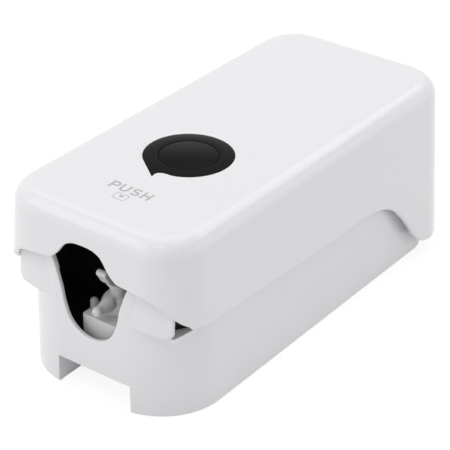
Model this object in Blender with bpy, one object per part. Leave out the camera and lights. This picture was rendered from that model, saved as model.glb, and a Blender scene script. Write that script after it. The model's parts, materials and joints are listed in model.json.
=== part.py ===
"""Wall soap dispenser with a push cover, in metres.

+Z points out of the wall, -Y is the lower end with the nozzle, Z = 0 is the wall face.
"""

import math

import bmesh
import bpy
from mathutils import Vector

# Push cover
COVER_WIDTH = 0.120
COVER_LENGTH = 0.2565
COVER_DEPTH = 0.1037
COVER_WALL = 0.0025
COVER_CORNER_RADIUS = 0.0277
COVER_DRAFT = math.radians(3.57)
COVER_GAUGE_Z = 0.040
COVER_EDGE_RADIUS = 0.0100
COVER_HALF_WIDTH = COVER_WIDTH / 2
COVER_HALF_LENGTH = COVER_LENGTH / 2

# Rim of the push cover at the lower end: (distance from the middle, depth below the front)
RIM_ARCH = ((0.0, 0.0151), (0.0050, 0.0154), (0.0100, 0.0171), (0.0126, 0.0195), (0.0155, 0.0235),
            (0.0187, 0.0267), (0.0215, 0.0283), (0.0280, 0.0290))
# The same on towards the corner: (distance from the side, depth below the front)
RIM_TURN = ((0.0230, 0.0301), (0.0170, 0.0328), (0.0120, 0.0369), (0.0070, 0.0425), (0.0035, 0.0462))
# Rim along the sides: (distance from the lower end, depth below the front)
RIM_SIDE = ((0.0202, 0.0473), (0.0512, 0.0485), (0.1212, 0.0512))
RIM_SIDE_DROP = 0.0517
RIM_SIDE_Z = COVER_DEPTH - RIM_SIDE_DROP
# Rim down to the lobes at the far end: (distance from the far end, share of the way down)
LOBE_RIM = ((0.0778, 0.053), (0.0646, 0.185), (0.0509, 0.494), (0.0400, 0.817), (0.0311, 0.961),
            (0.0222, 1.0))
LOBE_RIM_Z = 0.0083
LOBE_LENGTH = 0.0740
LOBE_END_INSET = 0.0222
LOBE_START_Y = COVER_HALF_LENGTH - LOBE_END_INSET - LOBE_LENGTH

# Rear housing, set inside the push cover
HOUSING_SIDE_INSET = 0.0062
HOUSING_NEAR_INSET = 0.00635
HOUSING_FAR_INSET = 0.03375
HOUSING_HALF_WIDTH = COVER_HALF_WIDTH - HOUSING_SIDE_INSET
HOUSING_NEAR_Y = -COVER_HALF_LENGTH + HOUSING_NEAR_INSET
HOUSING_FAR_Y = COVER_HALF_LENGTH - HOUSING_FAR_INSET
HOUSING_WALL = 0.0025
HOUSING_DRAFT = math.radians(0.39)
HOUSING_NEAR_RADIUS = 0.0359
HOUSING_FAR_RADIUS = 0.0120
HOUSING_SIDE_TOP_RISE = 0.0100
HOUSING_SIDE_TOP_Z = RIM_SIDE_Z + HOUSING_SIDE_TOP_RISE
HOUSING_END_TOP_DROP = 0.0237
HOUSING_END_TOP_Z = COVER_DEPTH - HOUSING_END_TOP_DROP
HOUSING_STEP_INSET = 0.0259
HOUSING_STEP_Y = HOUSING_NEAR_Y + HOUSING_STEP_INSET
HOUSING_STEP_RUN = 0.0100
FLOOR_Z = 0.0155
FLOOR_THICKNESS = 0.0025
FLOOR_TOP_Z = FLOOR_Z + FLOOR_THICKNESS
NOTCH_MIDDLE_X = 0.0020
NOTCH_HALF_WIDTH = 0.0230
NOTCH_HEIGHT = 0.0155
NOTCH_RIB_THICKNESS = 0.0025
NOTCH_RIB_END_INSET = 0.0339
NOTCH_RIB_END_Y = HOUSING_NEAR_Y + NOTCH_RIB_END_INSET

# Nozzle mouth in the housing's lower end
MOUTH_MIDDLE_X = 0.0006
MOUTH_BOTTOM_Z = 0.0340
MOUTH_BOTTOM_RADIUS = 0.0160
MOUTH_SIDE = ((0.0153, 0.0452), (0.0169, 0.0500), (0.0183, 0.0570), (0.0200, 0.0620),
              (0.0220, 0.0680), (0.0245, 0.0730), (0.0275, 0.0790))
MOUTH_CUT_DEPTH = 0.0120
MOUTH_STEPS = 12

# Side wings of the housing's lower end: (share of the length, distance behind the end wall)
WING_START_X = 0.0210
WING_END_INSET = 0.0051
WING_END_X = HOUSING_HALF_WIDTH - WING_END_INSET
WING_FACE = ((0.0, 0.00025), (0.145, 0.00078), (0.32, 0.0011), (0.50, 0.0016), (0.69, 0.0024),
             (0.87, 0.0035), (1.0, 0.0045))
WING_THICKNESS = 0.0022
WING_BOTTOM_DROP = 0.0025
WING_BOTTOM_Z = RIM_SIDE_Z - WING_BOTTOM_DROP
WING_TOP_MARGIN = 0.0060
WING_CORNER_RADIUS = 0.0045
WING_EDGE_RADIUS = 0.0010
WING_STEPS = 8
LEDGE_THICKNESS = 0.0022
LEDGE_END_SIDE_INSET = 0.0028
LEDGE_END_X = HOUSING_HALF_WIDTH - LEDGE_END_SIDE_INSET
LEDGE_END_NEAR_INSET = 0.0215
LEDGE_END_Y = HOUSING_NEAR_Y + LEDGE_END_NEAR_INSET
LEDGE_STEPS = 6
POCKET_START_X = 0.0310

# Hinge of the cover and of the push lever
HINGE_INSET = 0.01425
HINGE_Y = COVER_HALF_LENGTH - HINGE_INSET
HINGE_Z = 0.0250
PIN_RADIUS = 0.0030
PIN_CLEARANCE = 0.00025
EAR_RADIUS = 0.0080
EAR_INNER_INSET = 0.0230
EAR_INNER_X = COVER_HALF_WIDTH - EAR_INNER_INSET
EAR_THICKNESS = 0.0040
EAR_ROOT_BELOW = 0.0060
EAR_ROOT_ABOVE = 0.0220
BOSS_RADIUS = 0.0065
BOSS_INNER_INSET = 0.0095
BOSS_INNER_X = COVER_HALF_WIDTH - BOSS_INNER_INSET
BOSS_HOLE_END_INSET = 0.0070
BOSS_HOLE_END_X = COVER_HALF_WIDTH - BOSS_HOLE_END_INSET
PIN_BACK = 0.0015

# Push lever
LEVER_ARM_INSET = 0.0150
LEVER_ARM_X = COVER_HALF_WIDTH - LEVER_ARM_INSET
LEVER_ARM_THICKNESS = 0.0030
LEVER_ARM_HEIGHT = 0.0090
LEVER_TOP_DROP = 0.0247
LEVER_TOP_Z = COVER_DEPTH - LEVER_TOP_DROP
LEVER_BEND_RADIUS = 0.0100
LEVER_GUSSET = 0.0060
LEVER_LIMB_LOW_RISE = 0.0180
LEVER_LIMB_LOW_Z = HINGE_Z + LEVER_LIMB_LOW_RISE
LEVER_LIMB_HIGH_RISE = 0.0240
LEVER_LIMB_HIGH_Z = HINGE_Z + LEVER_LIMB_HIGH_RISE
LEVER_LIMB_BACK = 0.0060
LEVER_EYE_RADIUS = 0.0062
LEVER_BAR_INSET = 0.04025
LEVER_BAR_Y = -COVER_HALF_LENGTH + LEVER_BAR_INSET
LEVER_BAR_WIDTH = 0.0080
TONGUE_WIDTH = 0.0062
TONGUE_DROP = 0.0215
TONGUE_LOW_Z = LEVER_TOP_Z - TONGUE_DROP
TONGUE_TIP_RADIUS = 0.0013
# Profile of the tongue with its toe turned up: (distance from the pump's axis, height above its low face)
TONGUE_UNDER = ((0.0045, 0.0), (-0.0045, 0.0), (-0.0074, 0.0004), (-0.0096, 0.0024), (-0.0116, 0.0060))
TONGUE_TIP = (-0.0124, 0.0088)
TONGUE_UPPER = ((-0.0096, 0.0076), (-0.0077, 0.0047), (-0.0052, 0.0036), (0.0005, 0.0036))
COVER_RIB_INSET = 0.0300
COVER_RIB_X = COVER_HALF_WIDTH - COVER_RIB_INSET
COVER_RIB_WIDTH = 0.0100
COVER_RIB_THICKNESS = 0.0040

# Window in the cover: a circle and a tail towards -Y, straight on one side and hollow on the other
WINDOW_INSET = 0.08685
WINDOW_Y = -COVER_HALF_LENGTH + WINDOW_INSET
WINDOW_RADIUS = 0.0233
WINDOW_TIP = (-0.0001, -0.0293)
WINDOW_TAIL = ((-0.0011, -0.0264), (-0.0014, -0.0250), (-0.0011, -0.0240), (0.0, -0.0231),
               (0.0022, -0.0225), (0.0050, -0.0221))
WINDOW_STEPS = 36
WINDOW_RECESS = 0.0005
WINDOW_FLANGE_RADIUS = 0.0262
WINDOW_FLANGE_THICKNESS = 0.0018
DISC_RADIUS = 0.0154
DISC_THICKNESS = 0.0012

# Wall plate
PLATE_SIDE_INSET = 0.0098
PLATE_HALF_WIDTH = HOUSING_HALF_WIDTH - PLATE_SIDE_INSET
PLATE_NEAR_INSET = 0.0419
PLATE_NEAR_Y = HOUSING_NEAR_Y + PLATE_NEAR_INSET
PLATE_FAR_INSET = 0.0085
PLATE_FAR_Y = HOUSING_FAR_Y - PLATE_FAR_INSET
PLATE_THICKNESS = 0.0030
PLATE_CORNER_RADIUS = 0.0080
PLATE_BOSS_RADIUS = 0.0060
PLATE_BOSS_INSET = 0.0090
PLATE_BOSS_X = PLATE_HALF_WIDTH - PLATE_BOSS_INSET
PLATE_BOSS_NEAR_INSET = 0.0150
PLATE_BOSS_NEAR_Y = PLATE_NEAR_Y + PLATE_BOSS_NEAR_INSET
PLATE_BOSS_FAR_INSET = 0.0160
PLATE_BOSS_FAR_Y = PLATE_FAR_Y - PLATE_BOSS_FAR_INSET
WALL_SCREW_INSET = 0.0160
WALL_SCREW_X = PLATE_HALF_WIDTH - WALL_SCREW_INSET
WALL_SCREW_NEAR_INSET = 0.0400
WALL_SCREW_NEAR_Y = PLATE_NEAR_Y + WALL_SCREW_NEAR_INSET
WALL_SCREW_FAR_INSET = 0.0360
WALL_SCREW_FAR_Y = PLATE_FAR_Y - WALL_SCREW_FAR_INSET

# Screws
SCREW_RADIUS = 0.0019
SCREW_HEAD_RADIUS = 0.0038
SCREW_HEAD_HEIGHT = 0.0022
SCREW_HOLE_CLEARANCE = 0.0003
SCREW_SLOT_HALF_WIDTH = 0.0004
SCREW_SLOT_HALF_LENGTH = 0.0022
SCREW_TIP_HEIGHT = 0.0015

# Soap reservoir
TANK_SIDE_INSET = 0.0118
TANK_HALF_WIDTH = HOUSING_HALF_WIDTH - TANK_SIDE_INSET
TANK_NEAR_INSET = 0.0439
TANK_NEAR_Y = HOUSING_NEAR_Y + TANK_NEAR_INSET
TANK_FAR_INSET = 0.0045
TANK_FAR_Y = HOUSING_FAR_Y - TANK_FAR_INSET
TANK_TOP_DROP = 0.0157
TANK_TOP_Z = COVER_DEPTH - TANK_TOP_DROP
TANK_WALL = 0.0020
TANK_CORNER_RADIUS = 0.0100
TANK_EDGE_RADIUS = 0.0050
TANK_FOOT_RADIUS = 0.0050
TANK_FOOT_HEIGHT = 0.0040
TANK_FOOT_NEAR_INSET = 0.0180
TANK_FOOT_FAR_INSET = 0.0120
PORT_INSET = 0.0400
PORT_Y = TANK_FAR_Y - PORT_INSET
PORT_RADIUS = 0.0220
LID_FLANGE = 0.0040
LID_THICKNESS = 0.0025
LID_EDGE = 0.0008
LID_SKIRT_DEPTH = 0.0070
LID_SKIRT_WALL = 0.0018
LID_TAB_LENGTH = 0.0060
SEAL_HEIGHT = 0.0012
NECK_Z = 0.0290
NECK_RADIUS = 0.0055
NECK_BORE_RADIUS = 0.0035
NECK_LENGTH = 0.0060
NECK_GASKET_LENGTH = 0.0018

# Pump, its heights as shares of the space between the housing's floor and the lever's tongue
PUMP_SPACE = TONGUE_LOW_Z - FLOOR_TOP_Z
PUMP_INSET = 0.0239
PUMP_Y = HOUSING_NEAR_Y + PUMP_INSET
PUMP_BLOCK_HALF_WIDTH = 0.0113
PUMP_BLOCK_NEAR_INSET = 0.0079
PUMP_BLOCK_NEAR_Y = HOUSING_NEAR_Y + PUMP_BLOCK_NEAR_INSET
PUMP_BLOCK_SHARE = 0.582
PUMP_BLOCK_TOP_Z = FLOOR_TOP_Z + PUMP_BLOCK_SHARE * PUMP_SPACE
PUMP_BORE_RADIUS = 0.0065
PUMP_BORE_BOTTOM_RISE = 0.0025
PUMP_BORE_BOTTOM_Z = FLOOR_TOP_Z + PUMP_BORE_BOTTOM_RISE
PUMP_FLANGE_LENGTH = 0.0100
PUMP_FLANGE_HALF_WIDTH = 0.0060
PUMP_FLANGE_THICKNESS = 0.0030
CAP_FOOT_RADIUS = 0.0100
CAP_TOP_RADIUS = 0.0068
CAP_SHARE = 0.785
CAP_TOP_Z = FLOOR_TOP_Z + CAP_SHARE * PUMP_SPACE
CAP_RISE = CAP_TOP_Z - PUMP_BLOCK_TOP_Z
CAP_WALL = 0.0014
CAP_EDGE = 0.0010
# Rounded side of the cap: (share of the way in from foot to top, share of the height)
CAP_SIDE = ((0.0, 0.0), (0.0, 0.14), (0.10, 0.36), (0.32, 0.58), (0.62, 0.76))
NOZZLE_SHARE = 0.700
NOZZLE_Z = PUMP_BLOCK_TOP_Z + NOZZLE_SHARE * CAP_RISE
SPOUT_RADIUS = 0.0026
SPOUT_END_INSET = 0.0080
SPOUT_END_Y = HOUSING_NEAR_Y + SPOUT_END_INSET
SPOUT_ROOT_RADIUS = 0.52 * CAP_RISE
SPOUT_ROOT_INSET = 0.0172
SPOUT_ROOT_Y = HOUSING_NEAR_Y + SPOUT_ROOT_INSET
NOZZLE_RADIUS = 0.0028
NOZZLE_TIP_INSET = 0.0038
NOZZLE_TIP_Y = HOUSING_NEAR_Y + NOZZLE_TIP_INSET
NOZZLE_BORE_RADIUS = 0.0009
PLUG_X = -0.0084
PLUG_INSET = 0.0143
PLUG_Y = HOUSING_NEAR_Y + PLUG_INSET
PLUG_RADIUS = 0.0022
PLUG_HEIGHT = 0.85 * CAP_RISE
PISTON_ROD_RADIUS = 0.0050
PISTON_HEAD_RADIUS = 0.0060
PISTON_HEAD_HEIGHT = 0.0036
PISTON_SHARE = 0.433
PISTON_BOTTOM_Z = FLOOR_TOP_Z + PISTON_SHARE * PUMP_SPACE
BUTTON_RADIUS = 0.0068
BUTTON_HEIGHT = 0.0016
BUTTON_DOME = 0.0006
BUTTON_GAP = 0.0004
SEAL_GROOVE_DEPTH = 0.0016
SEAL_WIRE_RADIUS = 0.0008
SPRING_WIRE_RADIUS = 0.0004
SPRING_RADIUS = 0.0042
SPRING_PITCH = 0.0032
SPRING_TURN_STEPS = 10
BALL_RADIUS = 0.0022

# Dark screen round the pump
SHROUD_TOP_RISE = 0.0050
SHROUD_TOP_Z = RIM_SIDE_Z + SHROUD_TOP_RISE
SHROUD_START_INSET = 0.0120
SHROUD_START_Y = HOUSING_NEAR_Y + SHROUD_START_INSET
SHROUD_THICKNESS = 0.0014
SHROUD_GAP = 0.0006
TRAY_RISE = 0.0062
TRAY_LOW_Z = FLOOR_TOP_Z + TRAY_RISE
TRAY_THICKNESS = 0.0014
TRAY_NEAR_INSET = 0.0046
TRAY_NEAR_Y = HOUSING_NEAR_Y + TRAY_NEAR_INSET

GAP = 0.0003
OVERLAP = 0.0006
CUT_MARGIN = 0.0020
ROUND_STEPS = 24
HOLE_STEPS = 16
CORNER_STEPS = 7
SIDE_STEPS = 26
END_STEPS = 22

WHITE = (0.80, 0.80, 0.80)
BLACK = (0.012, 0.012, 0.013)
GREY = (0.30, 0.30, 0.31)
STEEL = (0.55, 0.55, 0.56)
RUBBER = (0.03, 0.03, 0.03)


def material(name, colour, roughness, metallic=0.0):
    made = bpy.data.materials.new(name)
    made.use_nodes = True
    shader = made.node_tree.nodes["Principled BSDF"]
    shader.inputs["Base Color"].default_value = (*colour, 1.0)
    shader.inputs["Roughness"].default_value = roughness
    shader.inputs["Metallic"].default_value = metallic
    made.diffuse_color = (*colour, 1.0)
    return made


def clear_scene():
    for item in list(bpy.data.objects):
        bpy.data.objects.remove(item, do_unlink=True)


def add_object(name, mesh, finish=None):
    """An object of its own, with a material of its own."""
    made = bpy.data.objects.new(name, mesh)
    bpy.context.scene.collection.objects.link(made)
    if finish:
        mesh.materials.append(material(name, *finish))
    return made


def mesh_of(name, build):
    """A mesh filled by build(bm), with its faces turned outwards and shaded smooth."""
    bm = bmesh.new()
    build(bm)
    bmesh.ops.recalc_face_normals(bm, faces=bm.faces)
    mesh = bpy.data.meshes.new(name)
    bm.to_mesh(mesh)
    bm.free()
    mesh.shade_smooth()
    mesh.set_sharp_from_angle(angle=math.radians(32))
    return mesh


def guide(made):
    """A helper shape that only cuts or adds to another."""
    made.hide_render = True
    made.display_type = "WIRE"
    return made


def combine(target, helper, operation):
    """Cut helper out of target, or unite it with target."""
    guide(helper)
    change = target.modifiers.new(helper.name, "BOOLEAN")
    change.operation = operation
    change.solver = "EXACT"
    change.object = helper
    return target


def cut(target, *helpers):
    for helper in helpers:
        combine(target, helper, "DIFFERENCE")


def unite(target, *helpers):
    for helper in helpers:
        combine(target, helper, "UNION")


# Columns of a plan outline

def plan_columns(half_x, near_y, far_y, near_r, far_r, side_ys, end_xs):
    """Columns (centre, outward direction, radius) round a rounded rectangle.

    A column's point at inset d is centre + direction * (radius - d).
    """
    columns = []
    for x in end_xs:
        columns.append((x, near_y + near_r, 0.0, -1.0, near_r))
    columns += corner(half_x - near_r, near_y + near_r, near_r, -90)
    for y in side_ys:
        columns.append((half_x - near_r, y, 1.0, 0.0, near_r))
    columns += corner(half_x - far_r, far_y - far_r, far_r, 0)
    columns += corner(-(half_x - far_r), far_y - far_r, far_r, 90)
    for y in reversed(side_ys):
        columns.append((-(half_x - near_r), y, -1.0, 0.0, near_r))
    columns += corner(-(half_x - near_r), near_y + near_r, near_r, 180)
    return columns


def corner(centre_x, centre_y, radius, start):
    points = []
    for step in range(CORNER_STEPS + 1):
        angle = math.radians(start + 90 * step / CORNER_STEPS)
        points.append((centre_x, centre_y, math.cos(angle), math.sin(angle), radius))
    return points


def column_point(column, inset):
    centre_x, centre_y, away_x, away_y, radius = column
    reach = radius - inset
    return centre_x + away_x * reach, centre_y + away_y * reach


def spread(start, end, count):
    """count values inside start..end, without the ends."""
    return [start + (end - start) * (step + 1) / (count + 1) for step in range(count)]


def smooth_curve(points, at):
    """Height at a place on the smooth curve through rising places, with no overshoot."""
    if at <= points[0][0]:
        return points[0][1]
    if at >= points[-1][0]:
        return points[-1][1]
    slopes = []
    for index in range(len(points) - 1):
        run = points[index + 1][0] - points[index][0]
        slopes.append((points[index + 1][1] - points[index][1]) / run)
    tangents = [slopes[0]]
    for before, after in zip(slopes, slopes[1:]):
        same_way = before * after > 0
        tangents.append(2 * before * after / (before + after) if same_way else 0.0)
    tangents.append(slopes[-1])
    index = 0
    while points[index + 1][0] < at:
        index += 1
    run = points[index + 1][0] - points[index][0]
    t = (at - points[index][0]) / run
    low = points[index][1]
    high = points[index + 1][1]
    return ((2 * t ** 3 - 3 * t ** 2 + 1) * low + (t ** 3 - 2 * t ** 2 + t) * run * tangents[index]
            + (3 * t ** 2 - 2 * t ** 3) * high + (t ** 3 - t ** 2) * run * tangents[index + 1])


def grid(bm, rows, closed_ends=True):
    """Skin between rows of points, each row a closed loop, with caps on both ends."""
    loops = [[bm.verts.new(point) for point in row] for row in rows]
    count = len(loops[0])
    for low, high in zip(loops, loops[1:]):
        for index in range(count):
            after = (index + 1) % count
            bm.faces.new((low[index], low[after], high[after], high[index]))
    if closed_ends:
        bm.faces.new(list(reversed(loops[0])))
        bm.faces.new(loops[-1])
    return loops


# Plain solids

def prism(name, outline, low, high, axis="Z", finish=None):
    """An outline pulled from low to high: (x, y) along Z, (y, z) along X or (x, z) along Y."""
    place = {
        "Z": lambda a, b, h: (a, b, h),
        "X": lambda a, b, h: (h, a, b),
        "Y": lambda a, b, h: (a, h, b),
    }[axis]

    def build(bm):
        grid(bm, [[place(a, b, height) for a, b in outline] for height in (low, high)])

    return add_object(name, mesh_of(name, build), finish)


def lathe(name, profile, origin, axis="Z", finish=None, steps=ROUND_STEPS):
    """A profile of (radius, height) turned about an axis through origin.

    A first or last radius of 0 closes the end in a point; other ends close flat.
    """
    def place(radius, height, angle):
        a = radius * math.cos(angle)
        b = radius * math.sin(angle)
        if axis == "Z":
            local = Vector((a, b, height))
        elif axis == "X":
            local = Vector((height, a, b))
        else:
            local = Vector((b, height, a))
        return Vector(origin) + local

    def build(bm):
        turned = [pair for pair in profile if pair[0] > 0]
        rows = []
        for radius, height in turned:
            angles = [2 * math.pi * (step + 0.5) / steps for step in range(steps)]
            rows.append([place(radius, height, angle) for angle in angles])
        grid(bm, rows)

    return add_object(name, mesh_of(name, build), finish)


def tube_ring(name, outer, inner, low, high, origin, axis="Z", finish=None, steps=ROUND_STEPS):
    """A plain ring with a square section."""
    def build(bm):
        rows = []
        for radius, height in ((outer, low), (outer, high), (inner, high), (inner, low)):
            row = []
            for step in range(steps):
                angle = 2 * math.pi * (step + 0.5) / steps
                a = radius * math.cos(angle)
                b = radius * math.sin(angle)
                local = {"Z": (a, b, height), "X": (height, a, b), "Y": (b, height, a)}[axis]
                row.append(Vector(origin) + Vector(local))
            rows.append(row)
        loops = grid(bm, rows, closed_ends=False)
        for index in range(steps):
            after = (index + 1) % steps
            bm.faces.new((loops[-1][index], loops[-1][after], loops[0][after], loops[0][index]))

    return add_object(name, mesh_of(name, build), finish)


def rounded_outline(half_a, low_b, high_b, radius, steps=5):
    """Rounded rectangle from -half_a to half_a and low_b to high_b."""
    points = []
    centres = ((half_a, low_b, -90), (half_a, high_b, 0), (-half_a, high_b, 90), (-half_a, low_b, 180))
    for a, b, start in centres:
        centre_a = a - math.copysign(radius, a)
        centre_b = b + radius if b == low_b else b - radius
        for step in range(steps + 1):
            angle = math.radians(start + 90 * step / steps)
            points.append((centre_a + radius * math.cos(angle), centre_b + radius * math.sin(angle)))
    return points


def box_outline(low_a, high_a, low_b, high_b):
    return [(low_a, low_b), (high_a, low_b), (high_a, high_b), (low_a, high_b)]


# Push cover

def cover_inset(z):
    return (z - COVER_GAUGE_Z) * math.tan(COVER_DRAFT)


def rim_height(x, y):
    """Height of the cover's rim: an arch over the mouth, long sides, and two lobes at the far end."""
    side_gap = COVER_HALF_WIDTH - abs(x)
    if y < 0 and side_gap > RIM_TURN[-1][0]:
        points = [(at, COVER_DEPTH - drop) for at, drop in RIM_ARCH]
        points += [(COVER_HALF_WIDTH - gap, COVER_DEPTH - drop) for gap, drop in RIM_TURN]
        return smooth_curve(points, abs(x))
    points = [(-COVER_HALF_LENGTH + run, COVER_DEPTH - drop) for run, drop in RIM_SIDE
              if -COVER_HALF_LENGTH + run < LOBE_START_Y]
    points.append((LOBE_START_Y, RIM_SIDE_Z))
    points += [(COVER_HALF_LENGTH - run, RIM_SIDE_Z - share * (RIM_SIDE_Z - LOBE_RIM_Z))
               for run, share in LOBE_RIM]
    return smooth_curve(points, y)


def cover_columns():
    near = -COVER_HALF_LENGTH + COVER_CORNER_RADIUS
    far = COVER_HALF_LENGTH - COVER_CORNER_RADIUS
    side_ys = spread(near, LOBE_START_Y, 4) + [LOBE_START_Y]
    side_ys += spread(LOBE_START_Y, far, SIDE_STEPS - 10)
    inner_x = COVER_HALF_WIDTH - COVER_CORNER_RADIUS
    end_xs = spread(-inner_x, inner_x, END_STEPS)
    return plan_columns(COVER_HALF_WIDTH, -COVER_HALF_LENGTH, COVER_HALF_LENGTH, COVER_CORNER_RADIUS,
                        COVER_CORNER_RADIUS, side_ys, end_xs)


def cover_rows(columns, wall, edge_steps):
    """Points of one skin of the cover, from its rim to the edge of its flat front."""
    radius = COVER_EDGE_RADIUS - wall
    top = COVER_DEPTH - wall
    rim_row = []
    for column in columns:
        x, y = column_point(column, wall)
        for _ in range(3):
            z = rim_height(x, y)
            x, y = column_point(column, wall + cover_inset(z))
        rim_row.append((x, y, z))
    rows = [rim_row]
    start_z = top - radius + radius * math.sin(COVER_DRAFT)
    centre_inset = wall + cover_inset(start_z) + radius * math.cos(COVER_DRAFT)
    for step in range(edge_steps + 1):
        angle = COVER_DRAFT + (math.pi / 2 - COVER_DRAFT) * step / edge_steps
        inset = centre_inset - radius * math.cos(angle)
        z = top - radius + radius * math.sin(angle)
        rows.append([(*column_point(column, inset), z) for column in columns])
    return rows


def push_cover():
    columns = cover_columns()

    def build(bm):
        outer = [[bm.verts.new(p) for p in row] for row in cover_rows(columns, 0.0, 6)]
        inner = [[bm.verts.new(p) for p in row] for row in cover_rows(columns, COVER_WALL, 4)]
        count = len(columns)
        for skin in (outer, inner):
            for low, high in zip(skin, skin[1:]):
                for index in range(count):
                    after = (index + 1) % count
                    bm.faces.new((low[index], low[after], high[after], high[index]))
            bm.faces.new(skin[-1])
        for index in range(count):
            after = (index + 1) % count
            bm.faces.new((outer[0][index], outer[0][after], inner[0][after], inner[0][index]))

    cover = add_object("push_cover", mesh_of("push_cover", build), (WHITE, 0.28))
    ceiling = COVER_DEPTH - COVER_WALL
    rib_foot = LEVER_TOP_Z + GAP
    for side in (-1, 1):
        rib = prism("cover_rib_guide", box_outline(
            side * COVER_RIB_X - COVER_RIB_WIDTH / 2, side * COVER_RIB_X + COVER_RIB_WIDTH / 2,
            LEVER_BAR_Y - COVER_RIB_THICKNESS / 2, LEVER_BAR_Y + COVER_RIB_THICKNESS / 2),
            rib_foot, ceiling + OVERLAP)
        unite(cover, rib)
    for side in (-1, 1):
        boss_reach = COVER_HALF_WIDTH - COVER_WALL - BOSS_INNER_X + OVERLAP
        boss = lathe("cover_boss_guide", [(BOSS_RADIUS, 0), (BOSS_RADIUS, side * boss_reach)],
                     (side * BOSS_INNER_X, HINGE_Y, HINGE_Z), "X")
        trim = cover_trim("cover_boss_trim")
        combine(boss, trim, "INTERSECT")
        unite(cover, boss)
        hole = round_cut("cover_hole_guide", PIN_RADIUS + PIN_CLEARANCE, -side * CUT_MARGIN,
                         side * (BOSS_HOLE_END_X - BOSS_INNER_X),
                         (side * BOSS_INNER_X, HINGE_Y, HINGE_Z), "X")
        cut(cover, hole)
    cut(cover, window_cutter())
    return cover


def cover_trim(name):
    """The space inside the middle of the cover's wall, which trims what is joined to it."""
    columns = plan_columns(COVER_HALF_WIDTH, -COVER_HALF_LENGTH, COVER_HALF_LENGTH,
                           COVER_CORNER_RADIUS, COVER_CORNER_RADIUS, [], [])

    def build(bm):
        rows = []
        for z in (LOBE_RIM_Z, COVER_DEPTH - COVER_EDGE_RADIUS):
            inset = COVER_WALL / 2 + cover_inset(z)
            rows.append([(*column_point(column, inset), z) for column in columns])
        grid(bm, rows)

    return guide(add_object(name, mesh_of(name, build)))


# Window of the cover

def offset_outline(points, grow):
    """A counterclockwise outline moved outwards; a sharp point is moved no further than a blunt one."""
    count = len(points)
    moved = []
    for index, here in enumerate(points):
        before = Vector(here) - Vector(points[index - 1])
        after = Vector(points[(index + 1) % count]) - Vector(here)
        first = Vector((before.y, -before.x)).normalized()
        second = Vector((after.y, -after.x)).normalized()
        moved.append(Vector(here) + (first + second) * grow / max(1 + first.dot(second), 0.8))
    return [tuple(point) for point in moved]


def teardrop(grow):
    """Outline of the window: a circle, a straight run to the tip, and a hollow way back."""
    reach = math.hypot(*WINDOW_TIP)
    lean = math.atan2(WINDOW_TIP[1], WINDOW_TIP[0])
    end = lean - math.acos(WINDOW_RADIUS / reach) + 2 * math.pi
    start = math.atan2(WINDOW_TAIL[-1][1], WINDOW_TAIL[-1][0]) + 0.04
    outline = []
    for step in range(WINDOW_STEPS + 1):
        angle = start + (end - start) * step / WINDOW_STEPS
        outline.append((WINDOW_RADIUS * math.cos(angle), WINDOW_RADIUS * math.sin(angle)))
    outline += [WINDOW_TIP, *WINDOW_TAIL]
    return [(x, WINDOW_Y + y) for x, y in offset_outline(outline, grow)]


def window_cutter():
    return prism("window_cut_guide", teardrop(GAP), COVER_DEPTH - 2 * COVER_WALL, COVER_DEPTH + CUT_MARGIN)


def window_parts():
    top = COVER_DEPTH - WINDOW_RECESS
    seat = COVER_DEPTH - COVER_WALL - GAP
    lens = prism("window_lens", teardrop(0.0), seat - OVERLAP, top, finish=(BLACK, 0.12))
    flange = lathe("window_flange_guide", [(WINDOW_FLANGE_RADIUS, seat - WINDOW_FLANGE_THICKNESS),
                                           (WINDOW_FLANGE_RADIUS, seat)],
                   (0, WINDOW_Y, 0), steps=48)
    unite(lens, flange)
    seat_cut = lathe("disc_seat_guide", [(DISC_RADIUS + GAP, 0),
                                         (DISC_RADIUS + GAP, DISC_THICKNESS + CUT_MARGIN)],
                     (0, WINDOW_Y, top - DISC_THICKNESS - GAP), steps=40)
    cut(lens, seat_cut)
    lathe("window_disc", [(DISC_RADIUS, 0), (DISC_RADIUS, DISC_THICKNESS)],
          (0, WINDOW_Y, top - DISC_THICKNESS), finish=(BLACK, 0.25), steps=40)


# Rear housing

def housing_inset(z):
    return z * math.tan(HOUSING_DRAFT)


def housing_top(y):
    """Top of the housing's wall, high round the lower end and lower along the sides."""
    t = (y - HOUSING_STEP_Y) / HOUSING_STEP_RUN
    t = min(1.0, max(0.0, t))
    ease = t * t * (3 - 2 * t)
    return HOUSING_END_TOP_Z + (HOUSING_SIDE_TOP_Z - HOUSING_END_TOP_Z) * ease


def housing_columns():
    near = HOUSING_NEAR_Y + HOUSING_NEAR_RADIUS
    far = HOUSING_FAR_Y - HOUSING_FAR_RADIUS
    inner_x = HOUSING_HALF_WIDTH - HOUSING_NEAR_RADIUS
    return plan_columns(HOUSING_HALF_WIDTH, HOUSING_NEAR_Y, HOUSING_FAR_Y, HOUSING_NEAR_RADIUS,
                        HOUSING_FAR_RADIUS, spread(near, far, 3), spread(-inner_x, inner_x, 3))


def housing_shell_rows(columns, inset, low):
    rows = [[(*column_point(column, inset + housing_inset(low)), low) for column in columns]]
    top_row = []
    for column in columns:
        x, y = column_point(column, inset)
        z = housing_top(y)
        top_row.append((*column_point(column, inset + housing_inset(z)), z))
    rows.append(top_row)
    return rows


def wing_arc(offset):
    """Plan points of one wing's outer face, from the end wall to its free end."""
    points = []
    for step in range(WING_STEPS + 1):
        share = step / WING_STEPS
        x = WING_START_X + (WING_END_X - WING_START_X) * share
        points.append((x, HOUSING_NEAR_Y + smooth_curve(WING_FACE, share) + offset))
    return points


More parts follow.
